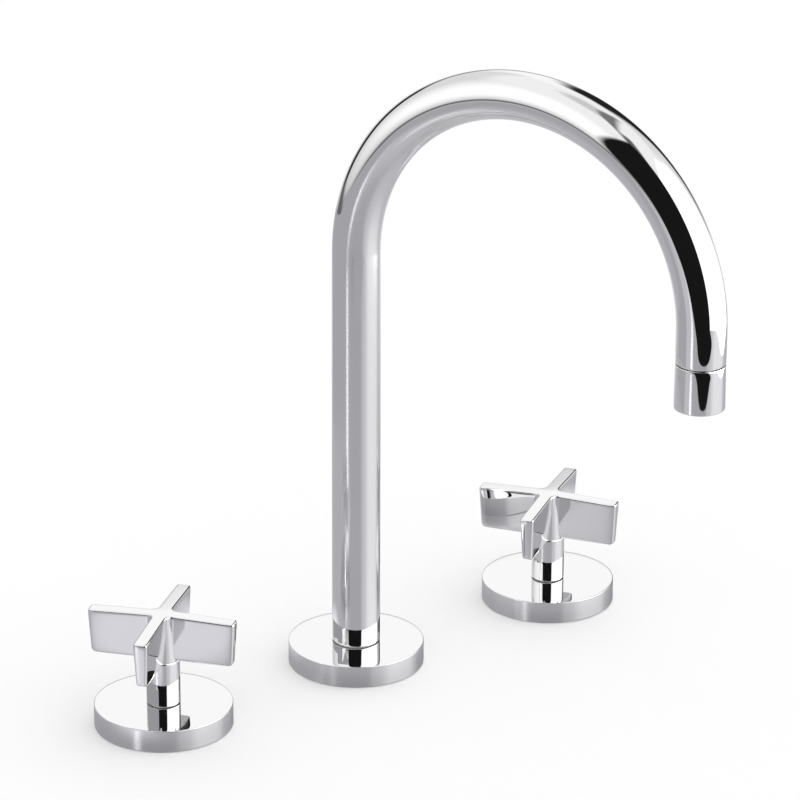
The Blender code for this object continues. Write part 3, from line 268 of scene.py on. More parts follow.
def aim(start: Vector, end: Vector) -> Matrix:
    """The place of a piece whose foot is at one point and whose Z runs to another."""
    turn = (Vector(end) - Vector(start)).to_track_quat("Z", "Y").to_matrix().to_4x4()
    return Matrix.Translation(start) @ turn


def rod(name: str, radius: float, start: Vector, end: Vector, segments: int = 48) -> Piece:
    """A solid bar between two points, round or with as many sides as are given."""
    length = (Vector(end) - Vector(start)).length
    deselect()
    bpy.ops.mesh.primitive_cylinder_add(vertices=segments, radius=radius, depth=length, location=(0, 0, length / 2))
    return place(just_added(name), aim(start, end))


def outwards(turn: float) -> Vector:
    """The level direction at a turn about Z from +X."""
    return Vector((math.cos(turn), math.sin(turn), 0.0))


def drawn_in(radius: float, rise: float) -> float:
    """How far a rounded lower edge is drawn in at a height over the piece's foot."""
    return radius - math.sqrt(max(0.0, radius**2 - max(0.0, radius - rise) ** 2))


def fade(distance: float, reach: float) -> float:
    """How much is left of an effect at a distance from an edge: 1 at the edge, and none far from it."""
    return math.exp(-max(0.0, distance) / reach)


@dataclass(frozen=True)
class Thread:
    """A screw thread round Z, cut into a turned piece.

    Its crest is a sharp edge at the radius of the plain bar, with a narrow flat between two turns, and its ends
    run out over one pitch.
    """

    radius: float
    low: float
    high: float
    pitch: float
    depth: float
    rows: int = 6
    flank: float = 1.25

    def corners(self, upwards: bool = True) -> list[Corner]:
        """The outline's points along the thread, for the piece's section."""
        count = round((self.high - self.low) / self.pitch * self.rows)
        heights = [self.low + (self.high - self.low) * step / count for step in range(count + 1)]
        return [Corner(self.radius, height) for height in (heights if upwards else heights[::-1])]

    def cut(self, piece: Piece) -> None:
        """Presses the thread into the turned piece's points."""
        for vertex in piece.data.vertices:
            x, y, z = vertex.co
            radius = math.hypot(x, y)
            if abs(radius - self.radius) > SAME_POINT or not self.low <= z <= self.high:
                continue
            phase = (z / self.pitch - math.atan2(y, x) / FULL_TURN) % 1.0
            ends = min(1.0, (z - self.low) / self.pitch, (self.high - z) / self.pitch)
            depth = self.depth * ends * min(1.0, self.flank * abs(2 * phase - 1))
            vertex.co.x, vertex.co.y = x * (radius - depth) / radius, y * (radius - depth) / radius


def smooth(piece: Piece) -> None:
    """Shades a piece smooth, keeps its sharp edges and holds its flat faces flat."""
    pick(piece)
    bpy.ops.object.shade_smooth_by_angle(angle=SMOOTH_ANGLE)
    weighted = piece.modifiers.new("flat faces", "WEIGHTED_NORMAL")
    weighted.keep_sharp = True
    weighted.weight = FLAT_FACE_WEIGHT
    apply_modifiers(piece)


# Node trees


class Curve(Enum):
    """How a level goes from one end of its range to the other."""

    EVEN = "LINEAR"
    SMOOTH = "SMOOTHSTEP"


class Chart:
    """Draws level curves in a node tree."""

    def __init__(self, tree: bpy.types.NodeTree) -> None:
        """Works in one node tree."""
        self.tree = tree

    def where(self, kind: str = "Object") -> Socket:
        """The point or the direction that is being shaded."""
        return self.tree.nodes.new("ShaderNodeTexCoord").outputs[kind]

    def path_is(self, kind: str) -> Socket:
        """Whether the ray is of one kind."""
        return self.tree.nodes.new("ShaderNodeLightPath").outputs[kind]

    def link(self, value: Level, socket: Socket) -> None:
        """Sets a socket to a number or to another socket's value."""
        if isinstance(value, Socket):
            self.tree.links.new(value, socket)
        else:
            socket.default_value = value

    def math(self, operation: str, first: Level, second: Level = 0.0) -> Socket:
        """One step of arithmetic."""
        node = self.tree.nodes.new("ShaderNodeMath")
        node.operation = operation
        self.link(first, node.inputs[0])
        self.link(second, node.inputs[1])
        return node.outputs[0]

    def product(self, *levels: Level) -> Socket:
        """The levels multiplied together."""
        return functools.reduce(functools.partial(self.math, "MULTIPLY"), levels)

    def vector(self, operation: str, where: Socket, other: Vector) -> Socket:
        """One step of vector arithmetic that gives a number."""
        node = self.tree.nodes.new("ShaderNodeVectorMath")
        node.operation = operation
        self.link(where, node.inputs[0])
        node.inputs[1].default_value = other
        return node.outputs["Value"]

    def distance(self, where: Socket, spot: Vector) -> Socket:
        """How far a point is from a spot."""
        return self.vector("DISTANCE", where, spot)

    def dot(self, where: Socket, axis: Vector) -> Socket:
        """How far a direction or a point goes along an axis."""
        return self.vector("DOT_PRODUCT", where, axis)

    def slide(self, value: Level, span: Point, ends: Point = (0.0, 1.0), curve: Curve = Curve.EVEN) -> Socket:
        """Goes from one level to another as a value crosses a span, and stays there.

        Args:
            value: The value.
            span: Where the change starts and where it is done.
            ends: The level before it and the level after it.
            curve: How it goes in between.

        Returns:
            The level, as a socket.
        """
        node = self.tree.nodes.new("ShaderNodeMapRange")
        node.interpolation_type = curve.value
        self.link(value, node.inputs["Value"])
        for name, number in zip(("From Min", "From Max", "To Min", "To Max"), (*span, *ends)):
            node.inputs[name].default_value = number
        return node.outputs["Result"]

    def step(self, value: Level, edge: float, soft: float) -> Socket:
        """Rises smoothly from 0 to 1 across an edge."""
        return self.slide(value, (edge - soft, edge + soft), curve=Curve.SMOOTH)

    def fall(self, value: Level, edge: float, soft: float) -> Socket:
        """Falls smoothly from 1 to 0 across an edge."""
        return self.math("SUBTRACT", 1.0, self.step(value, edge, soft))

    def blend(self, first: Level, second: Level, share: Level) -> Socket:
        """Mixes two levels."""
        node = self.tree.nodes.new("ShaderNodeMix")
        for number, value in ((0, share), (2, first), (3, second)):
            self.link(value, node.inputs[number])
        return node.outputs[0]


# Finishes


class Finish(Enum):
    """The finishes of the faucet, by the name of their material slot in the record."""

    CHROME = "chrome"
    BRASS = "brass"
    STEEL = "steel"
    RUBBER = "rubber"
    CERAMIC = "ceramic"
    PLASTIC = "plastic"


@dataclass(frozen=True)
class Look:
    """How a finish looks.

    The grain is fine noise on the piece itself. Its stretch draws it out along Z or round it, as tool marks are.
    """

    colour: Colour
    metallic: float
    roughness: float
    roughness_spread: float
    grain_scale: float
    grain_stretch: tuple[int, int, int]
    relief: float
    mottle: float


LOOKS = {
    Finish.CHROME: Look((0.820, 0.818, 0.822), 1.0, 0.018, 0.012, 220, (1, 1, 1), 0.0, 0.0),
    Finish.BRASS: Look((0.80, 0.60, 0.30), 1.0, 0.24, 0.12, 90, (1, 1, 14), 0.06, 0.10),
    Finish.STEEL: Look((0.60, 0.60, 0.61), 1.0, 0.26, 0.12, 140, (1, 1, 10), 0.05, 0.06),
    Finish.RUBBER: Look((0.030, 0.030, 0.032), 0.0, 0.72, 0.10, 900, (1, 1, 1), 0.10, 0.25),
    Finish.CERAMIC: Look((0.91, 0.90, 0.87), 0.0, 0.16, 0.06, 300, (1, 1, 1), 0.01, 0.03),
    Finish.PLASTIC: Look((0.86, 0.86, 0.84), 0.0, 0.38, 0.10, 500, (1, 1, 1), 0.03, 0.04),
}


class Paint:
    """Makes each finish's material once and puts it on pieces."""

    grain_detail: float = 4
    grain_span: Point = (0.3, 0.7)
    bump_depth: float = 0.1 * MM

    def __init__(self) -> None:
        """Starts with no material made."""
        self.made: dict[Finish, bpy.types.Material] = {}

    def material(self, finish: Finish) -> bpy.types.Material:
        """The material of a finish, made the first time that it is asked for."""
        if finish not in self.made:
            self.made[finish] = self.mix(finish, LOOKS[finish])
        return self.made[finish]

    def mix(self, finish: Finish, look: Look) -> bpy.types.Material:
        """Builds a finish from noise on the piece's own coordinates.

        Args:
            finish: The finish, for its name.
            look: Its colour, gloss and grain.

        Returns:
            The new material.
        """
        material = bpy.data.materials.new(finish.value)
        material.use_nodes = True
        chart = Chart(material.node_tree)
        nodes = material.node_tree.nodes
        shader = nodes["Principled BSDF"].inputs
        shader["Metallic"].default_value = look.metallic
        stretch = nodes.new("ShaderNodeMapping")
        stretch.inputs["Scale"].default_value = look.grain_stretch
        chart.link(chart.where(), stretch.inputs["Vector"])
        noise = nodes.new("ShaderNodeTexNoise")
        noise.inputs["Scale"].default_value = look.grain_scale
        noise.inputs["Detail"].default_value = self.grain_detail
        chart.link(stretch.outputs["Vector"], noise.inputs["Vector"])
        grain = noise.outputs["Fac"]
        spread = look.roughness_spread / 2
        gloss = chart.slide(grain, self.grain_span, (look.roughness - spread, look.roughness + spread))
        chart.link(gloss, shader["Roughness"])
        if look.mottle:
            tone = nodes.new("ShaderNodeMix")
            tone.data_type = "RGBA"
            for socket, share in ((6, 1 - look.mottle), (7, 1 + look.mottle)):
                tone.inputs[socket].default_value = (*(min(1.0, level * share) for level in look.colour), 1.0)
            chart.link(grain, tone.inputs[0])
            chart.link(tone.outputs[2], shader["Base Color"])
        else:
            shader["Base Color"].default_value = (*look.colour, 1.0)
        if look.relief:
            bump = nodes.new("ShaderNodeBump")
            bump.inputs["Strength"].default_value = look.relief
            bump.inputs["Distance"].default_value = self.bump_depth
            chart.link(grain, bump.inputs["Height"])
            chart.link(bump.outputs["Normal"], shader["Normal"])
        return material

    def coat(self, piece: Piece, finish: Finish) -> None:
        """Gives a piece one finish all over."""
        piece.data.materials.clear()
        piece.data.materials.append(self.material(finish))

    def soften(self, piece: Piece, more: float, share: Callable[[Chart, Socket], Socket]) -> None:
        """Makes a piece's gloss softer where a belt or a tool ran along it.

        Args:
            piece: A piece that already has its finish.
            more: The roughness that this adds.
            share: Says how much of it there is at a point of the piece, from 0 to 1.
        """
        material = piece.data.materials[0].copy()
        material.name = f"{piece.name}_brushed"
        chart = Chart(material.node_tree)
        belt = chart.product(share(chart, chart.where()), more)
        gloss = material.node_tree.nodes["Principled BSDF"].inputs["Roughness"]
        chart.link(chart.math("ADD", gloss.links[0].from_socket, belt), gloss)
        piece.data.materials[0] = material

    def carry_over(self) -> None:
        """Gives every CAD node the finish of its own slot."""
        slots = {row["node"]: row["material_slot"] for row in frame["record"]["subparts"]}
        for node, piece in frame["nodes"].items():
            self.coat(piece, Finish(slots[node]))


paint = Paint()


def deliver(piece: Piece, where: Matrix, finish: Finish, body: str, *nodes: str) -> None:
    """Finishes a piece, puts it in place and ties it to the frame.

    Args:
        piece: The modelled piece, on its own axis.
        where: Its place in the frame.
        finish: Its finish, which also names its material slot.
        body: The CAD body that it moves with.
        nodes: The CAD nodes that it stands for.
    """
    place(piece, where)
    smooth(piece)
    paint.coat(piece, finish)
    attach(piece, body)
    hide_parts(*nodes)
    log.info("%s: %d faces, %s, with %s", piece.name, len(piece.data.polygons), finish.value, body)


def upright(x: float, turn: float = 0.0) -> Matrix:
    """A place on the line of the deck holes, turned about Z."""
    return Matrix.Translation((x, 0, 0)) @ Matrix.Rotation(turn, 4, "Z")


# Pieces in view


@dataclass
class Flange:
    """A round deck flange with a nearly sharp rim, hollow below, with a boss inside whose thread is not cut."""

    hole: float
    boss_bore: float
    boss_base: float
    radius: float = 28.3 * MM
    height: float = 9.5 * MM
    top_wall: float = 2.0 * MM
    rim_wall: float = 1.0 * MM
    foot: float = 0.3 * MM
    edge: float = 0.22 * MM
    polish: float = 0.13 * MM
    worn: tuple[float, ...] = (0.5, 0.8, 1.1, 1.5, 2.0, 2.7, 3.6, 5.0)
    worn_reach: float = 1.1 * MM
    boss_wall: float = 2.2 * MM
    seal_width: float = 2.2 * MM
    seal_height: float = 1.6 * MM
    gap: float = 0.3 * MM
    brushing: float = 0.17
    brushed_to: Point = (9.2 * MM, 0.1 * MM)

    def outline(self) -> list[Corner]:
        """The flange's section."""
        rebate = self.radius - self.rim_wall
        inside = rebate - self.seal_width - 2 * self.gap
        ceiling = self.height - self.top_wall
        shelf = self.seal_height + self.gap
        boss = self.boss_bore + self.boss_wall
        worn = [(self.radius - way, self.polish * fade(way, self.worn_reach)) for way in (w * MM for w in self.worn)]
        return [
            Corner(self.radius, self.foot, 0.15 * MM),
            Corner(self.radius, self.height - self.polish, self.edge),
            *(Corner(radius, self.height - drop) for radius, drop in worn),
            Corner(self.hole, self.height, 0.12 * MM),
            Corner(self.hole, ceiling),
            Corner(self.boss_bore, ceiling),
            Corner(self.boss_bore, self.boss_base, 0.3 * MM),
            Corner(boss, self.boss_base, 0.3 * MM),
            Corner(boss, ceiling, 0.5 * MM),
            Corner(inside, ceiling, 0.8 * MM),
            Corner(inside, shelf),
            Corner(rebate, shelf),
            Corner(rebate, self.foot),
        ]

    def build(self, side: str, x: float) -> None:
        """Turns the flange and sets it over its deck hole."""
        piece = turned(f"{side}_flange_chrome", self.outline(), 160, 4)
        deliver(piece, upright(x), Finish.CHROME, "base", f"{side}_flange")
        paint.soften(piece, self.brushing, self.brushed)

    def brushed(self, chart: Chart, where: Socket) -> Socket:
        """How much fine turning marks soften the gloss: round the side, and not on the top.

        Args:
            chart: The material's nodes.
            where: The point on the flange.

        Returns:
            The share, from 0 to 1.
        """
        return chart.fall(chart.dot(where, UP), *self.brushed_to)


@dataclass
class CrossHandle:
    """A cross handle: four drafted arms with a crowned top, on a conical hub and a sleeve."""

    seam: float = 9.9 * MM
    sleeve: float = 6.9 * MM
    arm_base: float = 29.2 * MM
    arm_height: float = 19.0 * MM
    crown: float = 1.0 * MM
    crown_round: float = 3.0 * MM
    reach_top: float = 30.9 * MM
    reach_base: float = 29.8 * MM
    width_top: float = 6.2 * MM
    width_base: float = 4.3 * MM
    root_fillet: float = 3.0 * MM
    tip_round: float = 0.9 * MM
    top_round: float = 0.8 * MM
    base_round: float = 0.35 * MM
    heel_round: float = 1.5 * MM
    hub_top: float = 5.2 * MM
    hub_base: float = 6.45 * MM
    shoulder: float = 0.8 * MM
    mouth: float = 5.4 * MM
    mouth_depth: float = 3.6 * MM
    bore: float = 4.3 * MM
    bore_top: float = 27.3 * MM
    screw_height: float = 20.5 * MM
    screw_hole: float = 2.3 * MM
    screw_turn: float = math.radians(135)
    polish: float = 0.10 * MM
    polish_reach: float = 0.9 * MM
    sharpest: float = 0.2 * MM
    hub_depth: float = 1.2 * MM
    side_steps: int = 12
    side_rows: tuple[float, ...] = (2.0, 2.6, 3.4, 4.6, 7.0, 10.0, 13.0, 14.8, 15.9, 16.7, 17.3, 17.8)
    crown_rows: tuple[float, ...] = (0.86, 0.72, 0.58, 0.44, 0.3, 0.18, 0.08)

    def outline(self, half: float, reach: float, fillet: float, tip: float) -> list[Point]:
        """The cross at one level.

        Args:
            half: Half of an arm's width.
            reach: From the axis to the middle of an arm's end.
            fillet: The radius in the four inner corners.
            tip: The radius at the upright edges of each end.

        Returns:
            The outline's points, anticlockwise.
        """
        end = math.sqrt(reach**2 - half**2)
        root = half + fillet
        last = end - tip
        side: list[Point] = []
        for step in range(self.side_steps):
            x = last - (last - root) * (1 - step / self.side_steps) ** 2
            side.append((x, half + self.polish * (1 - fade(last - x, self.polish_reach))))
        arm = [(x, -y) for x, y in side]
        arm += self.arc(end - tip, tip - half, tip, -90, -8, 5)
        arm += [(math.sqrt(reach**2 - y**2), y) for y in (-half / 2, 0.0, half / 2)]
        arm += self.arc(end - tip, half - tip, tip, 8, 90, 5)
        arm += side[:0:-1]
        inner = self.arc(root, half + self.polish + fillet, fillet, 270, 225, 5)
        arm += inner + [(y, x) for x, y in inner[-2:0:-1]]
        points: list[Point] = []
        for quarter in range(4):
            turn = Matrix.Rotation(quarter * math.pi / 2, 2)
            points += [tuple(turn @ Vector(point)) for point in arm]
        return points

    @staticmethod
    def arc(x: float, y: float, radius: float, first: float, last: float, steps: int) -> list[Point]:
        """Points along an arc between two angles in degrees, both ends included."""
        angles = [math.radians(first + (last - first) * step / steps) for step in range(steps + 1)]
        return [(x + radius * math.cos(angle), y + radius * math.sin(angle)) for angle in angles]

    def ring(self, share: float, inset: float, drop: float, heel: float = 0.0) -> list[Vector]:
        """The cross at a share of the arms' height, on the crown's slope.

        Args:
            share: 0 at the arms' underside, 1 at their top.
            inset: How far the whole outline is drawn in.
            drop: How far it lies under the crown.
            heel: How much shorter the arms are at this level.

        Returns:
            The ring's points.
        """
        height = self.arm_height * share
        worn = fade(height, self.polish_reach) + fade(self.arm_height - height, self.polish_reach)
        half = (self.width_base + (self.width_top - self.width_base) * share) / 2 - inset
        half -= self.polish * (1 + worn)
        reach = self.reach_base + (self.reach_top - self.reach_base) * share - inset - heel
        reach -= self.polish * worn
        flat = self.outline(half, reach, self.root_fillet + inset, max(self.tip_round - inset, self.sharpest))
        level = self.arm_base + self.arm_height * share - drop
        return [Vector((x, y, level + share * self.lift(math.hypot(x, y)))) for x, y in flat]

    def lift(self, radius: float) -> float:
        """How far the crown stands over its rim at a radius, rounded off at the middle."""
        return self.crown * (1 - math.hypot(radius, self.crown_round) / self.reach_top)

    def arms(self, name: str) -> Piece:
        """The four arms as one solid."""
        rings: list[list[Vector]] = []
        quarter = [math.pi / 2 * step / ARC_STEPS for step in range(ARC_STEPS + 1)]
        for angle in quarter:
            rise = self.heel_round * (1 - math.cos(angle))
            inset, heel = drawn_in(self.base_round, rise), drawn_in(self.heel_round, rise)
            rings.append(self.ring(rise / self.arm_height, inset, 0.0, heel))
        for height in self.side_rows:
            rings.append(self.ring(height * MM / self.arm_height, 0.0, 0.0))
        for angle in quarter:
            inset, drop = (self.top_round * (1 - share) for share in (math.cos(angle), math.sin(angle)))
            rings.append(self.ring(1.0, inset, drop))
        rim = rings[-1]
        for share in self.crown_rows:
            ring = [Vector((point.x * share, point.y * share, 0.0)) for point in rim]
            for point in ring:
                point.z = self.arm_base + self.arm_height + self.lift(point.length)
            rings.append(ring)
        return lofted(name, rings)

    def hub(self, name: str) -> Piece:
        """The sleeve, its rounded shoulder and the cone between the arms."""
        top = self.arm_base + self.arm_height - self.hub_depth
        x, z = self.sleeve - self.shoulder, self.arm_base - self.shoulder
        ledge = z + math.sqrt(self.shoulder**2 - (self.hub_base - x) ** 2)
        shoulder = [Corner(*point) for point in self.arc(x, z, self.shoulder, 0, 60, ARC_STEPS) if point[1] < ledge]
        cone = [Corner(self.hub_base, ledge), Corner(self.hub_top, top), Corner(0.0, top)]
        return turned(name, [Corner(0.0, self.seam), Corner(self.sleeve, self.seam, 0.35 * MM), *shoulder, *cone], 128)

    def build(self, side: str, x: float, turn: float) -> None:
        """Builds a handle, bores it and sets it over its flange."""
        piece = self.hub(f"{side}_handle_chrome")
        join_solid(piece, self.arms("arms"), Join.ADD)
        out, level = outwards(self.screw_turn), UP * self.screw_height
        cut_away(
            piece,
            rod("mouth", self.mouth, (0, 0, 0), (0, 0, self.seam + self.mouth_depth)),
            rod("bore", self.bore, (0, 0, 0), (0, 0, self.bore_top), 40),
            rod("tapped", self.screw_hole, out * 3 * MM + level, out * 9 * MM + level, 32),
        )
        deliver(piece, upright(x, turn), Finish.CHROME, f"{side}_handle_group", f"{side}_handle")


@dataclass
class Spout:
    """The arched tube and the ring at its outlet.

    A polishing belt made its gloss softer along the leg and inside the bend.
    """

    turn: float = math.radians(18.7)
    radius: float = 10.0 * MM
    wall: float = 1.5 * MM
    foot: float = 9.9 * MM
    leg_top: float = 181.7 * MM
    bend: float = 80.2 * MM
    tail: float = 13.3 * MM
    end_round: float = 0.4 * MM
    rows: tuple[float, ...] = (0.9, 1.4, 2.0, 2.8, 3.8, 5.2, 7.5, 10.3)
    roll: Point = (0.078 * MM, 0.13 * MM)
    roll_reach: float = 2.6 * MM
    ring_radius: float = 10.1 * MM
    ring_length: float = 18.7 * MM
    ring_taper: float = 0.17 * MM
    ring_rows: tuple[float, ...] = (0, 0.7, 1.1, 1.6, 2.2, 3, 4, 5.5, 8, 12, 15, 16.5, 17.3, 17.8)
    ring_worn: tuple[Point, Point] = ((0.06 * MM, 1.8 * MM), (0.05 * MM, 1.0 * MM))
    seam: float = 0.4 * MM
    neck_length: float = 8.0 * MM
    neck_wall: float = 1.4 * MM
    ring_wall: float = 1.2 * MM
    ceiling: float = 3.2 * MM
    gap: float = 0.3 * MM
    screw_height: float = 18.9 * MM
    screw_hole: float = 1.8 * MM
    segments: int = 96
    bend_steps: int = 96
    bevel_steps: int = 4
    bevel_angle: float = math.radians(60)
    belt: float = 0.13
    leg_belt: tuple[Point, Point, Point] = ((40 * MM, 10 * MM), (184 * MM, 9 * MM), (45 * MM, 20 * MM))
    bend_belt: tuple[Point, Point] = ((75 * MM, 20 * MM), (150 * MM, 15 * MM))

    def draw_out(self, first: float, last: float, way: float) -> None:
        """Extrudes the open ring along a straight run, in short steps near the tube's end.

        Args:
            first: How far the ring is from the tube's end.
            last: How far from it the run ends.
            way: 1 upwards, -1 downwards.
        """
        stops = [row * MM for row in self.rows if min(first, last) < row * MM < max(first, last)]
        here = first
        for stop in [*(stops if last > first else stops[::-1]), last]:
            step = abs(stop - here) * way
            bpy.ops.mesh.extrude_region_move(TRANSFORM_OT_translate={"value": (0, 0, step)})
            here = stop

    def roll_off(self, piece: Piece) -> None:
        """Draws the tube in a little towards both ends, as polishing leaves it."""
        ends = ((Vector(), self.foot), (Vector((0, -2 * self.bend, 0)), self.leg_top - self.tail))
        for vertex in piece.data.vertices:
            side = 0 if vertex.co.y > -self.bend else 1
            axis, end = ends[side]
            if end - SAME_POINT < vertex.co.z < end + self.tail:
                drawn = self.roll[side] * fade(vertex.co.z - end, self.roll_reach)
                vertex.co -= (vertex.co.xy.to_3d() - axis).normalized() * drawn

    def skin(self, name: str, radius: float, over: float) -> Piece:
        """A solid along the tube's path.

        Args:
            name: The new solid's name.
            radius: Its radius.
            over: How far it runs past the tube at both ends, or short of it where negative.

        Returns:
            The solid.
        """
        deselect()
        bpy.ops.mesh.primitive_circle_add(vertices=self.segments, radius=radius, location=(0, 0, self.foot - over))
        piece = place(just_added(name), Matrix.Identity(4))
        edit_all(piece)
        self.draw_out(-over, self.leg_top - self.foot, 1.0)
        bpy.ops.mesh.spin(
            steps=self.bend_steps,
            angle=math.pi,
            center=(0, -self.bend, self.leg_top),
            axis=(-1, 0, 0),
            use_auto_merge=False,
        )
        self.draw_out(self.tail, -over, -1.0)
        return close_ends(piece, functools.partial(bpy.ops.mesh.fill_holes, sides=0))

    def tube(self) -> None:
        """The tube, bored through, with rounded ends and the hole for its retaining screw."""
        piece = self.skin("spout_tube_chrome", self.radius, 0.0)
        self.roll_off(piece)
        ends = piece.modifiers.new("ends", "BEVEL")
        ends.width = self.end_round
        ends.segments = self.bevel_steps
        ends.limit_method = "ANGLE"
        ends.angle_limit = self.bevel_angle
        apply_modifiers(piece)
        hole = ((0, 6 * MM, self.screw_height), (0, 12 * MM, self.screw_height))
        cut_away(piece, self.skin("bore", self.radius - self.wall, 1.0 * MM), rod("tapped", self.screw_hole, *hole, 32))
        deliver(piece, upright(0, self.turn), Finish.CHROME, "spout_group", "spout_tube")
        paint.soften(piece, self.belt, self.belted)

    def belted(self, chart: Chart, where: Socket) -> Socket:
        """How much the polishing belt softened the gloss: all along the leg and up inside the bend.

        Args:
            chart: The material's nodes.
            where: The point on the tube.

        Returns:
            The share, from 0 to 1.
        """
        height = chart.dot(where, UP)
        out = chart.dot(where, Matrix.Rotation(self.turn, 3, "Z") @ Vector((0, -1, 0)))
        foot, top, side = self.leg_belt
        leg = chart.product(chart.step(height, *foot), chart.fall(height, *top), chart.fall(out, *side))
        across = chart.math("SUBTRACT", out, self.bend)
        above = chart.math("SUBTRACT", height, self.leg_top)
        squares = chart.math("ADD", chart.product(across, across), chart.product(above, above))
        hollow = chart.fall(chart.math("SQRT", squares), self.bend - 1 * MM, 2 * MM)
        side, foot = self.bend_belt
        inside = chart.product(hollow, chart.fall(out, *side), chart.step(height, *foot))
        return chart.math("MAXIMUM", leg, inside)

    def ring_side(self) -> list[Corner]:
        """The ring's outer side, from its rounded top down: a slight taper, drawn in towards both edges."""
        corners = []
        (top, top_reach), (base, base_reach) = self.ring_worn
        for depth in (row * MM for row in self.ring_rows):
            left = self.ring_length - self.seam - depth
            radius = self.ring_radius - self.ring_taper * left / self.ring_length
            radius -= top * fade(depth, top_reach) + base * fade(left, base_reach)
            corners.append(Corner(radius, -self.seam - depth, 0.0 if depth else 0.25 * MM))
        return [*corners, Corner(self.ring_radius - base, -self.ring_length, 0.30 * MM)]

    def ring(self) -> None:
        """The outlet ring, with its neck up inside the tube and its skirt round the aerator."""
        neck = self.radius - self.wall - self.gap
        corners = [
            Corner(neck - self.neck_wall, self.neck_length, 0.3 * MM),
            Corner(neck, self.neck_length, 0.3 * MM),
            Corner(neck, -self.seam),
            *self.ring_side(),
            Corner(self.ring_radius - self.ring_wall, -self.ring_length, 0.25 * MM),
            Corner(self.ring_radius - self.ring_wall, -self.ceiling),
            Corner(neck - self.neck_wall, -self.ceiling),
        ]
        piece = turned("outlet_ring_chrome", corners, 96, 6)
        place(piece, Matrix.Translation((0, -2 * self.bend, self.leg_top - self.tail)))
        deliver(piece, upright(0, self.turn), Finish.CHROME, "spout_group", "outlet_ring")

    def build(self) -> None:
        """Builds the tube and its outlet ring."""
        self.tube()
        self.ring()


# Pieces below and inside


@dataclass(frozen=True)
class Ring:
    """A flat ring with softened edges: a washer, a gasket or a seal."""

    node: str
    finish: Finish
    inner: float
    outer: float
    low: float
    high: float
    soft: float = 0.2 * MM
    body: str = "base"

    def build(self, where: Matrix) -> None:
        """Turns the ring and sets it in place."""
        section = band(self.inner, self.outer, self.low, self.high, self.soft)
        piece = turned(f"{self.node}_turned", section, 96, 3)
        deliver(piece, where, self.finish, self.body, self.node)


@dataclass(frozen=True)
class HexNut:
    """A hexagon nut with turned chamfers and a thread in its bore."""

    node: str
    flats: float
    bore: float
    low: float = -32.7 * MM
    high: float = -24.7 * MM
    pitch: float = 1.5 * MM
    depth: float = 0.8 * MM
    chamfer: float = 0.9 * MM
    land_share: float = 0.97

    def build(self, where: Matrix) -> None:
        """Turns the nut's blank, threads it and mills its flats."""
        corner, land = self.flats / math.sqrt(3), self.flats / 2 * self.land_share
        rise = (corner - land) / math.sqrt(3)
        mouth = self.bore + self.chamfer
        thread = Thread(self.bore, self.low + self.chamfer, self.high - self.chamfer, self.pitch, -self.depth)
        ends = [(mouth, self.low), (land, self.low), (corner, self.low + rise)]
        ends += [(corner, self.high - rise), (land, self.high), (mouth, self.high)]
        piece = turned(f"{self.node}_milled", [Corner(*end) for end in ends] + thread.corners(upwards=False), 96)
        thread.cut(piece)
        bar = rod("hexagon", corner, (0, 0, self.low - MM), (0, 0, self.high + MM), 6)
        join_solid(piece, place(bar, Matrix.Rotation(math.radians(30), 4, "Z")), Join.TRIM)
        sew(piece)
        deliver(piece, where, Finish.BRASS, "base", self.node)


@dataclass(frozen=True)
class ValveBody:
    """A valve's threaded brass body: its supply inlet is below and its outlet points along +X."""

    shank: Thread = Thread(14.0 * MM, -42.0 * MM, 0.4 * MM, 1.5 * MM, 0.9 * MM)
    inlet: Thread = Thread(10.45 * MM, -75.2 * MM, -60.6 * MM, 1.814 * MM, 1.1 * MM)
    outlet: Thread = Thread(8.0 * MM, 17.0 * MM, 29.2 * MM, 1.5 * MM, 0.85 * MM)
    outlet_height: float = -52.0 * MM
    outlet_reach: float = 30.0 * MM
    bore: float = 4.2 * MM
    passage: float = 2.0 * MM
    passage_offset: float = 9.7 * MM
    passage_top: float = -13.05 * MM

    def outline(self) -> list[Corner]:
        """The body's section, bored for the cartridge and the supply."""
        return [
            *in_mm((12.1, 6.1, 0.15), (14.0, 6.1, 0.15), (14.0, 2.8), (12.6, 2.8), (12.6, 1.0), (14.0, 1.0)),
            *self.shank.corners(upwards=False),
            *in_mm((12.5, -43.5), (12.5, -60.0), (10.45, -60.0)),
            *self.inlet.corners(upwards=False),
            *in_mm((9.65, -76.0), (4.2, -76.0), (4.2, -19.4), (10.3, -19.4), (10.3, -14.8), (11.7, -13.4)),
            *in_mm((11.7, -5.3), (10.3, -3.9), (10.3, 3.2), (12.1, 3.2)),
        ]

    def build(self, side: str, where: Matrix) -> None:
        """Turns, threads and bores the body, and joins its outlet.

        Args:
            side: "hot" or "cold".
            where: The body's place, with +X towards the spout.
        """
        piece = turned(f"{side}_valve_body_brass", self.outline(), 72)
        self.shank.cut(piece)
        self.inlet.cut(piece)
        out, level = outwards(0.0), UP * self.outlet_height
        end = level + out * self.outlet_reach
        join_solid(piece, place(branch("outlet", self.outlet, self.outlet_reach), aim(level, end)), Join.ADD)
        start = level + out * (self.passage_offset - self.passage)
        foot, head = (out * self.passage_offset + UP * z for z in (self.outlet_height, self.passage_top))
        cut_away(
            piece,
            rod("outlet bore", self.bore, start, end + out * MM, 40),
            rod("passage", self.passage, foot, head, 24),
        )
        deliver(piece, where, Finish.BRASS, "base", f"{side}_valve_body")


def branch(name: str, thread: Thread, reach: float) -> Piece:
    """A short threaded pipe end, solid, along Z from the origin, with a chamfer at its far end."""
    end = reach - thread.high
    corners = [Corner(0, 0), Corner(thread.radius, 0), *thread.corners()]
    corners += [Corner(thread.radius - end, reach), Corner(0, reach)]
    piece = turned(name, corners, 56)
    thread.cut(piece)
    return piece


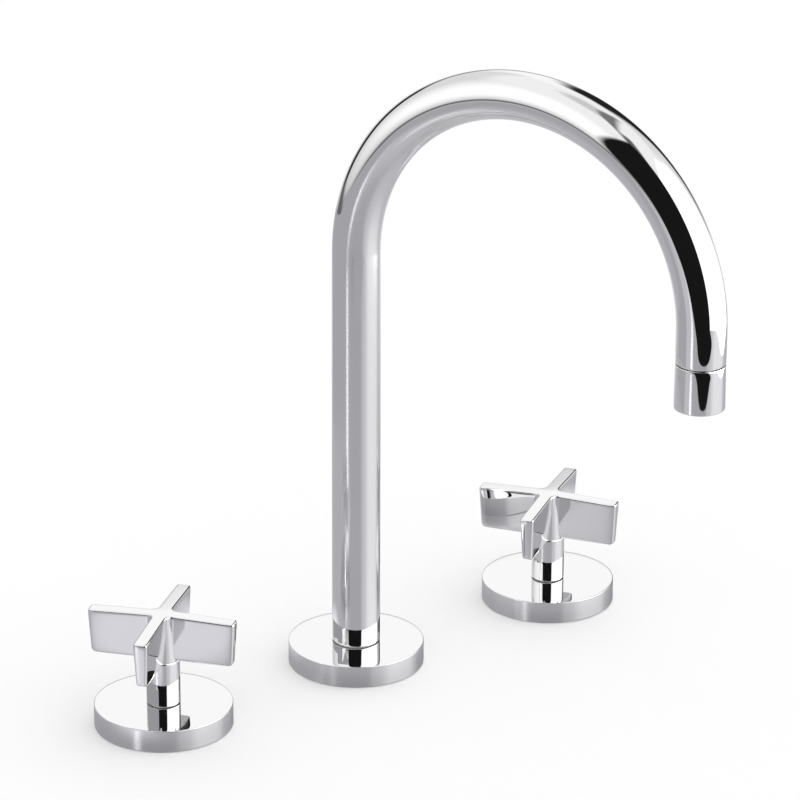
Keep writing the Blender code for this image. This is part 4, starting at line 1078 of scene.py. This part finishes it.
@dataclass(frozen=True)
class Clip:
    """The open spring clip that hangs a valve in its deck hole, with its mouth on +X."""

    inner: float = 12.9 * MM
    outer: float = 17.5 * MM
    low: float = 1.3 * MM
    high: float = 2.5 * MM
    mouth: float = math.radians(70)
    soft: float = 0.25 * MM
    steps: int = 72

    def build(self, side: str, x: float, turn: float) -> None:
        """Bends the clip and sets it in the valve's groove."""
        section = rounded(band(self.inner, self.outer, self.low, self.high, self.soft), 3)
        middle, half = (self.inner + self.outer) / 2, (self.outer - self.inner) / 2
        tip = half / middle
        whole = FULL_TURN - self.mouth
        turns = [tip * (1 - math.cos(math.pi / 2 * step / ARC_STEPS)) for step in range(1, ARC_STEPS + 1)]
        far = [whole - way for way in turns[::-1]]
        turns += [tip + (whole - 2 * tip) * step / self.steps for step in range(1, self.steps)] + far
        rings = []
        for way in turns:
            left = min(1.0, min(way, whole - way) / tip)
            share = math.sqrt(1 - (1 - left) ** 2)
            out = outwards(way + self.mouth / 2)
            rings.append([out * (middle + (r - middle) * share) + UP * z for r, z in section])
        piece = lofted(f"{side}_clip_steel", rings)
        deliver(piece, upright(x, turn), Finish.STEEL, "base", f"{side}_retaining_clip")


@dataclass(frozen=True)
class SocketScrew:
    """A headless screw with a cupped point towards the axis and a hexagon socket outwards."""

    node: str
    body: str
    radius: float
    foot: float
    head: float
    height: float
    turn: float
    pitch: float
    socket: float
    edge: float = 0.2 * MM
    thread_depth: float = 0.55

    def build(self, where: Matrix) -> None:
        """Turns, threads and broaches the screw and puts it in its hole."""
        length, point = self.head - self.foot, self.radius / 3
        thread = Thread(self.radius, point, length - self.edge, self.pitch, self.pitch * self.thread_depth, rows=8)
        corners = [Corner(0, point), Corner(self.radius / 2, 0), Corner(self.radius - point, 0), *thread.corners()]
        corners += [Corner(self.radius - self.edge, length), Corner(0, length)]
        piece = turned(f"{self.node}_steel", corners, 48)
        thread.cut(piece)
        deep = min(self.socket, length / 2)
        cut_away(piece, rod("socket", self.socket, (0, 0, length - deep), (0, 0, length + MM), 6))
        inward = Matrix.Translation((self.foot, 0, self.height)) @ Matrix.Rotation(math.pi / 2, 4, "Y")
        turn = Matrix.Rotation(self.turn, 4, "Z")
        deliver(piece, where @ turn @ inward, Finish.STEEL, self.body, self.node)


@dataclass(frozen=True)
class Shank:
    """The spout's brass shank: thread, collar, and the spigot that the tube turns on."""

    thread: Thread = Thread(10.4 * MM, -61.2 * MM, 0.2 * MM, 1.5 * MM, 0.9 * MM)
    track: tuple[float, float, float, float] = (6.8 * MM, 9.5 * MM, 17.1 * MM, 20.7 * MM)
    track_spread: float = 2 * (math.radians(60) + math.asin(1.8 / 6.8))
    track_steps: int = 48

    def outline(self) -> list[Corner]:
        """The shank's section."""
        return [
            *in_mm((5.0, -62), (9.6, -62)),
            *self.thread.corners(),
            *in_mm((10.4, 1.2), (16.5, 1.2, 0.3), (16.5, 4.0, 0.3), (10.4, 4.0), (10.4, 7.2), (9.4, 7.2)),
            *in_mm((9.4, 8.5), (7.0, 8.5), (7.0, 16.1), (8.1, 16.1)),
            *in_mm((8.1, 21.7), (6.2, 21.7), (6.2, 24.3), (8.1, 24.3)),
            *in_mm((8.1, 27.9), (6.2, 27.9), (6.2, 30.5), (8.1, 30.5)),
            *in_mm((8.1, 36.6), (7.0, 36.6), (7.0, 44.2), (8.1, 44.2), (8.1, 45.7), (7.3, 46.5), (5.0, 46.5)),
        ]

    def build(self, where: Matrix) -> None:
        """Turns and threads the shank and mills the retaining screw's track."""
        piece = turned("spout_shank_brass", self.outline(), 72)
        self.thread.cut(piece)
        rings = []
        for step in range(self.track_steps + 1):
            out = outwards(math.pi / 2 + self.track_spread * (step / self.track_steps - 0.5))
            rings.append([out * corner.radius + UP * corner.height for corner in band(*self.track)])
        cut_away(piece, lofted("track", rings))
        deliver(piece, where, Finish.BRASS, "base", "spout_shank")


@dataclass(frozen=True)
class Tee:
    """The inlet tee under the spout, with a threaded branch to each valve."""

    radius: float = 14.0 * MM
    top: float = -50.0 * MM
    base: float = -82.3 * MM
    axis: float = -71.3 * MM
    ledge: float = -64.1 * MM
    socket: float = 10.7 * MM
    passage: float = 5.0 * MM
    branch_bore: float = 4.2 * MM
    reach: float = 32.0 * MM
    thread: Thread = Thread(8.0 * MM, 17.0 * MM, 31.2 * MM, 1.5 * MM, 0.85 * MM)

    def build(self, where: Matrix) -> None:
        """Turns the tee, joins its branches and bores its ways."""
        blank = [Corner(0, self.top), Corner(self.radius, self.top, 0.6 * MM)]
        piece = turned("inlet_tee_brass", [*blank, Corner(self.radius, self.base, 1.2 * MM), Corner(0, self.base)], 72)
        middle, out = UP * self.axis, outwards(0.0)
        for end in (middle - out * self.reach, middle + out * self.reach):
            join_solid(piece, place(branch("branch", self.thread, self.reach), aim(middle, end)), Join.ADD)
        inside = [(0, self.top + MM), (self.socket, self.top + MM), (self.socket, self.ledge)]
        inside += [(self.passage, self.ledge), (self.passage, self.axis), (0, self.axis)]
        end = out * (self.reach + MM)
        cut_away(
            piece,
            turned("socket", [Corner(*corner) for corner in inside], 72),
            rod("way", self.branch_bore, middle - end, middle + end, 40),
        )
        deliver(piece, where, Finish.BRASS, "base", "inlet_tee")


@dataclass(frozen=True)
class Aerator:
    """The aerator's cup, with a grille of square openings across its floor."""

    radius: float = 8.6 * MM
    top: float = -7.1 * MM
    base: float = -17.5 * MM
    wall: float = 1.1 * MM
    floor: float = 1.2 * MM
    pitch: float = 2.6 * MM
    bar: float = 0.7 * MM

    def build(self, where: Matrix) -> None:
        """Turns the cup and pierces its grille."""
        inside = self.radius - self.wall
        outline = [(0, self.base, 0), (self.radius, self.base, 0.4), (self.radius, self.top, 0.25)]
        outline += [(inside, self.top, 0.25), (inside, self.base + self.floor, 0.3), (0, self.base + self.floor, 0)]
        piece = turned("aerator_insert_moulded", [Corner(r, z, soft * MM) for r, z, soft in outline], 72, 3)
        half = (self.pitch - self.bar) / 2
        count = int(inside / self.pitch)
        steps = [step * self.pitch for step in range(-count, count + 1)]
        openings = []
        for x, y in itertools.product(steps, steps):
            if math.hypot(abs(x) + half, abs(y) + half) <= inside:
                low, high = UP * (self.base - MM), UP * (self.base + self.floor + MM)
                square = rod("opening", half * math.sqrt(2), low, high, 4)
                openings.append(place(square, Matrix.Translation((x, y, 0)) @ Matrix.Rotation(math.pi / 4, 4, "Z")))
        cut_away(piece, *openings)
        deliver(piece, where, Finish.PLASTIC, "spout_group", "aerator_insert")


def fittings(side: str) -> list[Ring | HexNut]:
    """The rings and the nut that hold one piece in its deck hole, and the seal under its flange."""
    bore, flats = (10.7, 30) if side == "spout" else (14.3, 36)
    top = Ring("spout_base_gasket", Finish.RUBBER, 10.7 * MM, 16.5 * MM, 0, 0.9 * MM)
    if side != "spout":
        top = Ring(f"{side}_top_washer", Finish.STEEL, 14.3 * MM, 22 * MM, 0, 1.0 * MM)
    return [
        top,
        Ring(f"{side}_flange_seal", Finish.RUBBER, 24.8 * MM, 27 * MM, 0, 1.6 * MM, 0.3 * MM),
        Ring(f"{side}_deck_gasket", Finish.RUBBER, bore * MM, 21.5 * MM, -22.5 * MM, -20 * MM, 0.35 * MM),
        Ring(f"{side}_mounting_washer", Finish.STEEL, bore * MM, 21.5 * MM, -24.4 * MM, -22.8 * MM),
        HexNut(f"{side}_mounting_nut", flats * MM, bore * MM),
    ]


# Studio


@dataclass(frozen=True)
class Card:
    """A flat card or soft box of the studio, as seen from the faucet.

    Each corner is an azimuth to the right of the way back to the camera and an elevation, in degrees. The
    edges between corners are straight.
    """

    level: float
    soft: float
    corners: tuple[Point, ...]


@dataclass(frozen=True)
class PaintedDisc:
    """A round patch of painted light, where it is brighter, or of painted shade, where it is darker, on the table's
    glow, set off from one of the three axes on the deck.
    """

    x: float
    azimuth: float
    distance: float
    level: float
    radius: float
    soft: float = 0.014


@dataclass(frozen=True)
class Board:
    """A low grey board that curves round a part of the faucet's left or front."""

    name: str
    radius: float
    turns: Point
    heights: Point


@dataclass
class Studio:
    """A white floor, a room of cards and soft boxes for the metal to mirror, and the camera.

    The table, the boards, the cards and the lamp's gleam only show in the metal.
    """

    azimuth: float = math.radians(-38.296)
    elevation: float = math.radians(21.879)
    roll: float = math.radians(0.237)
    distance: float = 1.8138
    target: tuple[float, float, float] = (-0.01901, -0.05304, 0.13859)
    sensor: float = 36
    lens: float = 4566.26 * 36 / 800
    clip: Point = (0.05, 30)
    floor_size: float = 12
    floor_tone: Colour = (0.97, 0.97, 0.97)
    matt_light: float = 1.04
    cool: Colour = (1.0, 0.987, 1.05)
    table_radius: float = 0.75
    table_sides: int = 96
    table_level: float = 0.44
    table_sheen: float = 0.135
    table_blur: float = 0.24
    table_front: tuple[float, float, float] = (11, 0.507, 0.006)
    table_right: Point = (105, 0.551)
    board_right: tuple[float, float, float] = (90, 0.46, 0.012)
    board_level: float = 0.01
    # Painted light: the table glows brighter towards the back, and falls back to its plain level at the sides.
    painted_back_light: tuple[float, float, float, float] = (1.10, 173, 0.40, 0.26)
    back_sides: tuple[float, float, float] = (83, 0.27, 0.10)
    painted_patches: tuple[PaintedDisc, ...] = (
        # Painted pools of light on the table before each handle, which the arms' faces mirror.
        PaintedDisc(HOT_X, -30, 0.078, 0.74, 0.038),
        PaintedDisc(COLD_X, -39, 0.078, 0.47, 0.038),
        # Painted brighter patches on the table behind each handle.
        PaintedDisc(HOT_X, 150, 0.090, 0.95, 0.022),
        PaintedDisc(COLD_X, 150, 0.090, 0.95, 0.022),
        # Painted shade: a darker halo on the table round each of the three axes, where the faucet would shade it.
        *(PaintedDisc(x, 0, 0, 0.32, 0.040, 0.010) for x in (HOT_X, 0.0, COLD_X)),
    )
    boards: tuple[Board, ...] = (
        Board("side_board_low", 0.27, (-142, -100), (0.0, 0.134)),
        Board("side_board", 0.27, (-100, -46), (0.0, 0.15)),
        Board("side_board_flap", 0.27, (-46, -37.5), (0.08, 0.15)),
        Board("front_board", 0.12, (-10, 28), (0.122, 0.152)),
    )
    board_steps: int = 24
    lamp_way: Point = (-42.5, 22)
    lamp_distance: float = 3
    lamp_size: Point = (0.45, 0.55)
    lamp_level: float = 14.0
    walls: tuple[float, Point, Point] = (-62, (0.35, 0.9), (0.84, 1.31))
    ceiling: tuple[tuple[float, float, float], ...] = ((1.05, 0.74, 0.08), (0.70, 0.975, 0.02))
    ground: tuple[float, float, float] = (0.46, -0.28, 0.02)
    cards: tuple[Card, ...] = (
        Card(1.13, 4.0, ((164, -10), (164, 62), (-168, 62), (-168, -10))),
        Card(0.42, 22.0, ((-150, -5), (-45, -5), (-45, -60), (-150, -60))),
        Card(0.32, 5.0, ((166, 9), (166, 18), (-164, 18), (-164, 9))),
        Card(0.15, 5.0, ((-172, 11), (-172, 16), (-152, 16), (-152, 8))),
        Card(0.020, 2.5, ((-161, 14), (-146, 17), (-134, 3), (-127, -7), (-128, -13), (-145, -10), (-158, 4))),
        Card(0.020, 2.5, ((-130, -8), (-112, -11), (-110, -16), (-130, -15))),
        Card(0.16, 3.0, ((-136, -8), (-100, -11), (-56, -12), (-56, -18), (-136, -18))),
        Card(0.22, 2.5, ((4, 64), (4, 82), (130, 80), (130, 58))),
        Card(
            1.45, 1.5, ((31, -26), (14, 59), (40, 62), (80, 58), (104, 49), (128, 36), (142, 20), (148, -8), (148, -26))
        ),
        Card(3.80, 12.0, ((52, -30), (50, 38), (112, 34), (128, -30))),
        Card(0.14, 3.0, ((1, 58), (9, 68), (36, 67), (24, 56), (18, 48))),
        Card(0.010, 1.2, ((-57.5, -12.5), (6.5, 59), (15, 55.5), (21.5, 45), (27.5, 21), (32.5, -4), (36, -27))),
        Card(0.018, 5.0, ((140, -4), (145, 53), (172, 52), (171, 22), (168, 0), (160, -5))),
    )

    def way(self, azimuth: float, elevation: float = 0.0) -> Vector:
        """The direction at an azimuth and an elevation, in degrees, as the cards' corners have them."""
        turn = self.azimuth + math.radians(azimuth)
        flat = math.cos(math.radians(elevation))
        return Vector((math.sin(turn) * flat, -math.cos(turn) * flat, math.sin(math.radians(elevation))))

    def camera(self) -> None:
        """Sets the camera that the faucet is drawn from."""
        back = self.way(0.0, math.degrees(self.elevation))
        right = (-back).cross(UP).normalized()
        above = right.cross(-back)
        rolled_right = right * math.cos(self.roll) + above * math.sin(self.roll)
        rolled_above = above * math.cos(self.roll) - right * math.sin(self.roll)
        data = bpy.data.cameras.new("camera")
        data.lens, data.sensor_width = self.lens, self.sensor
        data.clip_start, data.clip_end = self.clip
        camera = bpy.data.objects.new("camera", data)
        bpy.context.scene.collection.objects.link(camera)
        turn = Matrix((rolled_right, rolled_above, back)).transposed().to_4x4()
        camera.matrix_world = Matrix.Translation(Vector(self.target) + back * self.distance) @ turn
        bpy.context.scene.camera = camera

    @staticmethod
    def plain(prop: Piece, settings: dict[str, float | tuple[float, ...]]) -> None:
        """Gives a prop an even material that mirrors nothing.

        Args:
            prop: The prop.
            settings: The values of its shader's inputs, by name.
        """
        material = bpy.data.materials.new(prop.name)
        material.use_nodes = True
        inputs = material.node_tree.nodes["Principled BSDF"].inputs
        for name, value in {**settings, "Specular IOR Level": 0.0}.items():
            inputs[name].default_value = value
        prop.data.materials.append(material)

    def floor(self) -> None:
        """The white floor at the deck's level, which takes the faucet's soft shadow."""
        deselect()
        bpy.ops.mesh.primitive_plane_add(size=self.floor_size)
        floor = just_added("floor")
        self.plain(floor, {"Base Color": (*self.floor_tone, 1.0), "Roughness": 1.0})
        floor.visible_glossy = False

    def mirrored_only(self, prop: Piece) -> None:
        """Makes a prop of the room one that only the metal shows."""
        prop.visible_camera = False
        prop.visible_diffuse = False
        prop.visible_shadow = False

    def table(self) -> None:
        """The glossy table top that the metal mirrors, which ends in front before a black board."""
        deselect()
        bpy.ops.mesh.primitive_circle_add(vertices=self.table_sides, radius=self.table_radius, fill_type="NGON")
        table = just_added("table")
        edit_all(table)
        away = self.way(self.table_right[0])
        bpy.ops.mesh.bisect(plane_co=away * self.table_right[1], plane_no=away, clear_outer=True)
        deselect()
        material = bpy.data.materials.new("table")
        material.use_nodes = True
        chart, nodes = Chart(material.node_tree), material.node_tree.nodes
        glow, sheen, both = (nodes.new(f"Shader{kind}") for kind in ("NodeEmission", "NodeBsdfGlossy", "NodeAddShader"))
        glow.inputs["Color"].default_value = (*self.cool, 1.0)
        sheen.inputs["Roughness"].default_value = self.table_blur
        chart.link(glow.outputs[0], both.inputs[0])
        chart.link(sheen.outputs[0], both.inputs[1])
        chart.link(both.outputs[0], nodes["Material Output"].inputs["Surface"])
        where = chart.where()
        ahead, right = (
            chart.step(chart.dot(where, self.way(turn)), *edge) for turn, *edge in (self.table_front, self.board_right)
        )
        board = chart.product(ahead, chart.math("SUBTRACT", 1.0, right))
        # The table's glow carries painted light and painted shade; the black board in front hardly glows.
        chart.link(chart.blend(self.painted_table_light(chart, where), self.board_level, board), glow.inputs["Strength"])
        chart.link(chart.blend(self.table_sheen, 0.0, board), sheen.inputs["Color"])
        table.data.materials.append(material)
        self.mirrored_only(table)
        self.lamp(table)

    def painted_table_light(self, chart: Chart, where: Socket) -> Socket:
        """How bright the table glows, with painted light and shade: brighter towards the back, painted pools of light
        before and behind the handles, and painted shade round the three axes on the deck.

        Args:
            chart: The table's nodes.
            where: The point on the table.

        Returns:
            The level, as a socket.
        """
        # Painted light: the back of the table glows brighter.
        level, turn, edge, soft = self.painted_back_light
        lit = chart.blend(self.table_level, level, chart.step(chart.dot(where, self.way(turn)), edge, soft))
        turn, edge, soft = self.back_sides
        beside = chart.math("ABSOLUTE", chart.dot(where, self.way(turn)))
        lit = chart.blend(lit, self.table_level, chart.step(beside, edge, soft))
        # Painted pools of light, and painted shade round the axes.
        for disc in self.painted_patches:
            away = chart.distance(where, Vector((disc.x, 0, 0)) + self.way(disc.azimuth) * disc.distance)
            lit = chart.blend(disc.level, lit, chart.step(away, disc.radius, disc.soft))
        return lit

    def lamp(self, table: Piece) -> None:
        """The soft lamp to the left of the camera, whose long gleam on the table the metal mirrors."""
        towards = self.way(*self.lamp_way)
        data = bpy.data.lights.new("lamp", "AREA")
        data.shape = "RECTANGLE"
        data.size, data.size_y = self.lamp_size
        data.energy = self.lamp_level * math.pi * data.size * data.size_y
        data.color = self.cool
        lamp = bpy.data.objects.new("lamp", data)
        bpy.context.scene.collection.objects.link(lamp)
        turn = towards.to_track_quat("Z", "Y").to_matrix().to_4x4()
        lamp.matrix_world = Matrix.Translation(towards * self.lamp_distance) @ turn
        lit = bpy.data.collections.new("lit_by_lamp")
        lit.objects.link(table)
        lamp.light_linking.receiver_collection = lit

    def stand(self, board: Board) -> None:
        """Bends a board round the spout's axis and stands it up."""
        deselect()
        bpy.ops.mesh.primitive_grid_add(x_subdivisions=self.board_steps, y_subdivisions=1, size=1)
        piece = just_added(board.name)
        (first, last), (low, high) = board.turns, board.heights
        for vertex in piece.data.vertices:
            spot = self.way(first + (last - first) * (vertex.co.x + 0.5)) * board.radius
            spot.z = low + (high - low) * (vertex.co.y + 0.5)
            vertex.co = spot
        glow = {"Emission Color": (*self.cool, 1.0), "Emission Strength": self.table_level}
        self.plain(piece, {"Base Color": (0, 0, 0, 1), **glow})
        self.mirrored_only(piece)

    def room(self) -> None:
        """The world: plain white to the camera and to matt surfaces, and the room of cards to the metal."""
        world = bpy.data.worlds.new("room")
        bpy.context.scene.world = world
        world.use_nodes = True
        chart = Chart(world.node_tree)
        level = chart.blend(self.matt_light, self.room_level(chart), chart.path_is("Is Glossy Ray"))
        shown = chart.math("MAXIMUM", chart.path_is("Is Camera Ray"), chart.path_is("Is Transmission Ray"))
        background = world.node_tree.nodes["Background"].inputs
        chart.link(chart.blend(level, 1.0, shown), background["Strength"])
        background["Color"].default_value = (1, 1, 1, 1)

    def room_level(self, chart: Chart) -> Socket:
        """How bright the room is in each direction.

        Args:
            chart: The world's nodes.

        Returns:
            The level, as a socket.
        """
        where = chart.where("Generated")
        height = chart.dot(where, UP)
        turn, span, ends = self.walls
        level = chart.slide(chart.dot(where, self.way(turn)), span, ends)
        for above, *edge in self.ceiling:
            level = chart.blend(level, above, chart.step(height, *edge))
        below, *edge = self.ground
        level = chart.blend(below, level, chart.step(height, *edge))
        for card in self.cards:
            level = chart.blend(level, card.level, self.mask(chart, where, card))
        return level

    def mask(self, chart: Chart, where: Socket, card: Card) -> Socket:
        """Where a card shows, from 0 to 1."""
        spots = [self.way(*corner) for corner in card.corners]
        middle = sum(spots, Vector()) / len(spots)
        normals = [first.cross(second).normalized() for first, second in zip(spots, spots[1:] + spots[:1])]
        normals = [normal if normal.dot(middle) > 0 else -normal for normal in normals]
        soft = math.radians(card.soft)
        return chart.product(*(chart.step(chart.dot(where, normal), 0.0, soft) for normal in normals))

    def build(self) -> None:
        """Sets up the floor, the room and the camera."""
        self.floor()
        self.table()
        for board in self.boards:
            self.stand(board)
        self.room()
        self.camera()
        bpy.context.scene.view_settings.view_transform = "Standard"


def main() -> None:
    """Builds the faucet's looks and its studio."""
    logging.basicConfig(level=logging.INFO, format="%(message)s")
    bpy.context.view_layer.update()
    paint.carry_over()
    for side, x, inward, rest in (("hot", HOT_X, 0.0, -52.5), ("cold", COLD_X, math.pi, -58.0)):
        Flange(hole=6.4 * MM, boss_bore=14.3 * MM, boss_base=3.1 * MM).build(side, x)
        handle = CrossHandle()
        handle.build(side, x, math.radians(rest))
        ValveBody().build(side, upright(x, inward))
        Clip().build(side, x, inward)
        for piece in fittings(side):
            piece.build(upright(x))
        screw = SocketScrew(
            f"{side}_set_screw",
            f"{side}_handle_group",
            radius=2.0 * MM,
            foot=4.3 * MM,
            head=6.5 * MM,
            height=handle.screw_height,
            turn=handle.screw_turn,
            pitch=0.7 * MM,
            socket=1.0 * MM,
        )
        screw.build(upright(x, math.radians(rest)))
    Flange(hole=9.7 * MM, boss_bore=10.7 * MM, boss_base=4.3 * MM).build("spout", 0.0)
    spout = Spout()
    spout.build()
    screw = SocketScrew(
        "spout_retaining_screw",
        "spout_group",
        radius=1.5 * MM,
        foot=7.1 * MM,
        head=9.7 * MM,
        height=spout.screw_height,
        turn=math.pi / 2,
        pitch=0.5 * MM,
        socket=0.75 * MM,
    )
    screw.build(upright(0, spout.turn))
    outlet = upright(0, spout.turn) @ Matrix.Translation((0, -2 * spout.bend, spout.leg_top - spout.tail))
    Aerator().build(outlet)
    washer = Ring("aerator_washer", Finish.RUBBER, 6.6 * MM, 8.6 * MM, -5.1 * MM, -3.5 * MM, 0.3 * MM, "spout_group")
    washer.build(outlet)
    Shank().build(upright(0))
    Tee().build(upright(0))
    for piece in fittings("spout"):
        piece.build(upright(0))
    Ring("tee_seal", Finish.RUBBER, 5.0 * MM, 9.6 * MM, -63.8 * MM, -62.3 * MM).build(upright(0))
    Studio().build()


if __name__ == "__main__":
    main()
